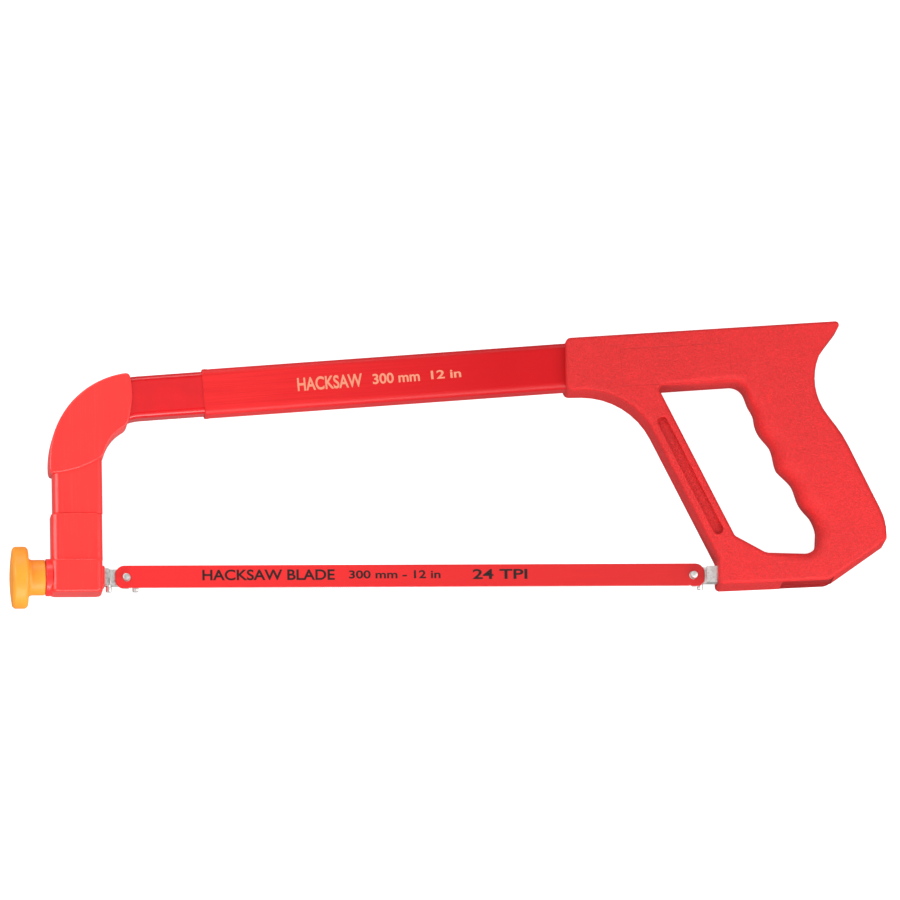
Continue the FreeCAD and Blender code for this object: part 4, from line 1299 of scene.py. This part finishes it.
class HACKSAW_OT_stage(bpy.types.Operator):
    """Pale floor, soft studio light and the camera"""

    bl_idname = "hacksaw.stage"
    bl_label = "Stage"

    def execute(self, context):
        scene = context.scene
        floor = bmesh.new()
        half_floor = 3.0
        bmesh.ops.create_grid(floor, x_segments=1, y_segments=1, size=half_floor)
        mesh = bpy.data.meshes.new("floor")
        floor.to_mesh(mesh)
        floor.free()
        mesh.materials.append(finish("floor_paper", floor_paper, tuple(colours().floor)))
        ground = bpy.data.objects.new("floor", mesh)
        scene.collection.objects.link(ground)
        ground.visible_glossy = False
        ground.visible_diffuse = False

        sky = bpy.data.worlds.new("studio")
        sky.use_nodes = True
        tree = sky.node_tree
        away = Vector((-0.08, -0.185, 1.0)).normalized()
        way = tree.nodes.new("ShaderNodeTexCoord").outputs["Generated"]
        facing = tree.nodes.new("ShaderNodeVectorMath")
        facing.operation = "DOT_PRODUCT"
        facing.inputs[1].default_value = (-away.x, -away.y, away.z)
        tree.links.new(way, facing.inputs[0])
        height = tree.nodes.new("ShaderNodeSeparateXYZ")
        tree.links.new(way, height.inputs[0])
        strength = tree.nodes.new("ShaderNodeMath")
        strength.operation = "MULTIPLY"
        for part, (source, levels) in enumerate((
            (facing.outputs["Value"], (0.70, 0.93, 0.88, 0.10)),
            (height.outputs["Z"], (-0.10, 0.25, 0.32, 1.0)),
        )):
            slide = tree.nodes.new("ShaderNodeMapRange")
            slide.interpolation_type = "SMOOTHSTEP"
            for socket, value in zip(("From Min", "From Max", "To Min", "To Max"), levels):
                slide.inputs[socket].default_value = value
            tree.links.new(source, slide.inputs["Value"])
            tree.links.new(slide.outputs[0], strength.inputs[part])
        tree.links.new(strength.outputs[0], tree.nodes["Background"].inputs["Strength"])
        tree.nodes["Background"].inputs["Color"].default_value = (1.0, 1.0, 1.0, 1.0)
        scene.world = sky
        middle = (0.0, 0.0, 0.01)
        for name, place, aimed_at, power, size in (
            ("front_box", (0.0, -1.3, 0.45), middle, 13.0, (1.5, 0.5)),
            ("back_box", (-0.35, 1.2, 0.75), middle, 6.0, (1.5, 0.5)),
            ("left_box", (-1.2, 0.25, 0.75), middle, 7.8, (0.5, 1.2)),
            ("right_box", (0.40, -0.25, 0.36), middle, 2.2, (0.5, 0.5)),
            ("left_card", (-0.10, 0.16, 0.9), (-0.10, 0.16, 0.0), 0.30, (0.37, 0.40)),
            ("right_card", (0.30, 0.08, 0.9), (0.30, 0.08, 0.0), 0.16, (0.24, 0.20)),
        ):
            light = bpy.data.lights.new(name, "AREA")
            light.shape = "RECTANGLE"
            light.size, light.size_y = size
            light.energy = power
            lamp = bpy.data.objects.new(name, light)
            scene.collection.objects.link(lamp)
            facing_saw = (Vector(aimed_at) - Vector(place)).to_track_quat("-Z", "Y")
            lamp.matrix_world = Matrix.Translation(place) @ facing_saw.to_matrix().to_4x4()

        camera = bpy.data.objects.new("camera", bpy.data.cameras.new("camera"))
        scene.collection.objects.link(camera)
        target = Vector((0.0021, 0.0087, HOLE.z))
        distance, view_width, sensor, roll = 10.0, 0.4757, 36.0, math.radians(-0.19)
        level = Vector((1, 0, 0))
        side = (level - away * level.dot(away)).normalized()
        up = away.cross(side)
        basis = Matrix((side, up, away)).transposed() @ Matrix.Rotation(roll, 3, "Z")
        camera.matrix_world = Matrix.Translation(target + away * distance) @ basis.to_4x4()
        camera.data.lens = sensor * distance / view_width
        camera.data.clip_end = 50.0
        scene.camera = camera
        scene.view_settings.view_transform = "Standard"
        return {"FINISHED"}


class HACKSAW_PT_panel(bpy.types.Panel):
    """Lists the steps that build the saw"""

    bl_idname = "HACKSAW_PT_panel"
    bl_label = "Hacksaw"
    bl_space_type = "VIEW_3D"
    bl_region_type = "UI"
    bl_category = "Hacksaw"

    def draw(self, context):
        settings = context.scene.hacksaw
        self.layout.prop(settings, "sleeve_word")
        for group in (settings.shapes, settings.teeth, settings.colours):
            box = self.layout.box()
            for name in group.__annotations__:
                box.prop(group, name)
        for step in STEPS:
            self.layout.operator(step.bl_idname)


STEPS = (
    HACKSAW_OT_handle,
    HACKSAW_OT_coat,
    HACKSAW_OT_sleeve,
    HACKSAW_OT_corner,
    HACKSAW_OT_arm,
    HACKSAW_OT_knob,
    HACKSAW_OT_holders,
    HACKSAW_OT_blade,
    HACKSAW_OT_print,
    HACKSAW_OT_inside,
    HACKSAW_OT_stage,
)
CLASSES = (HacksawShapes, HacksawTeeth, HacksawColours, HacksawSettings, *STEPS, HACKSAW_PT_panel)


def register():
    for each in CLASSES:
        bpy.utils.register_class(each)
    bpy.types.Scene.hacksaw = PointerProperty(type=HacksawSettings)


def unregister():
    del bpy.types.Scene.hacksaw
    for each in reversed(CLASSES):
        bpy.utils.unregister_class(each)


def main():
    register()
    for step in STEPS:
        group, name = step.bl_idname.split(".")
        getattr(getattr(bpy.ops, group), name)()


if __name__ == "__main__":
    main()
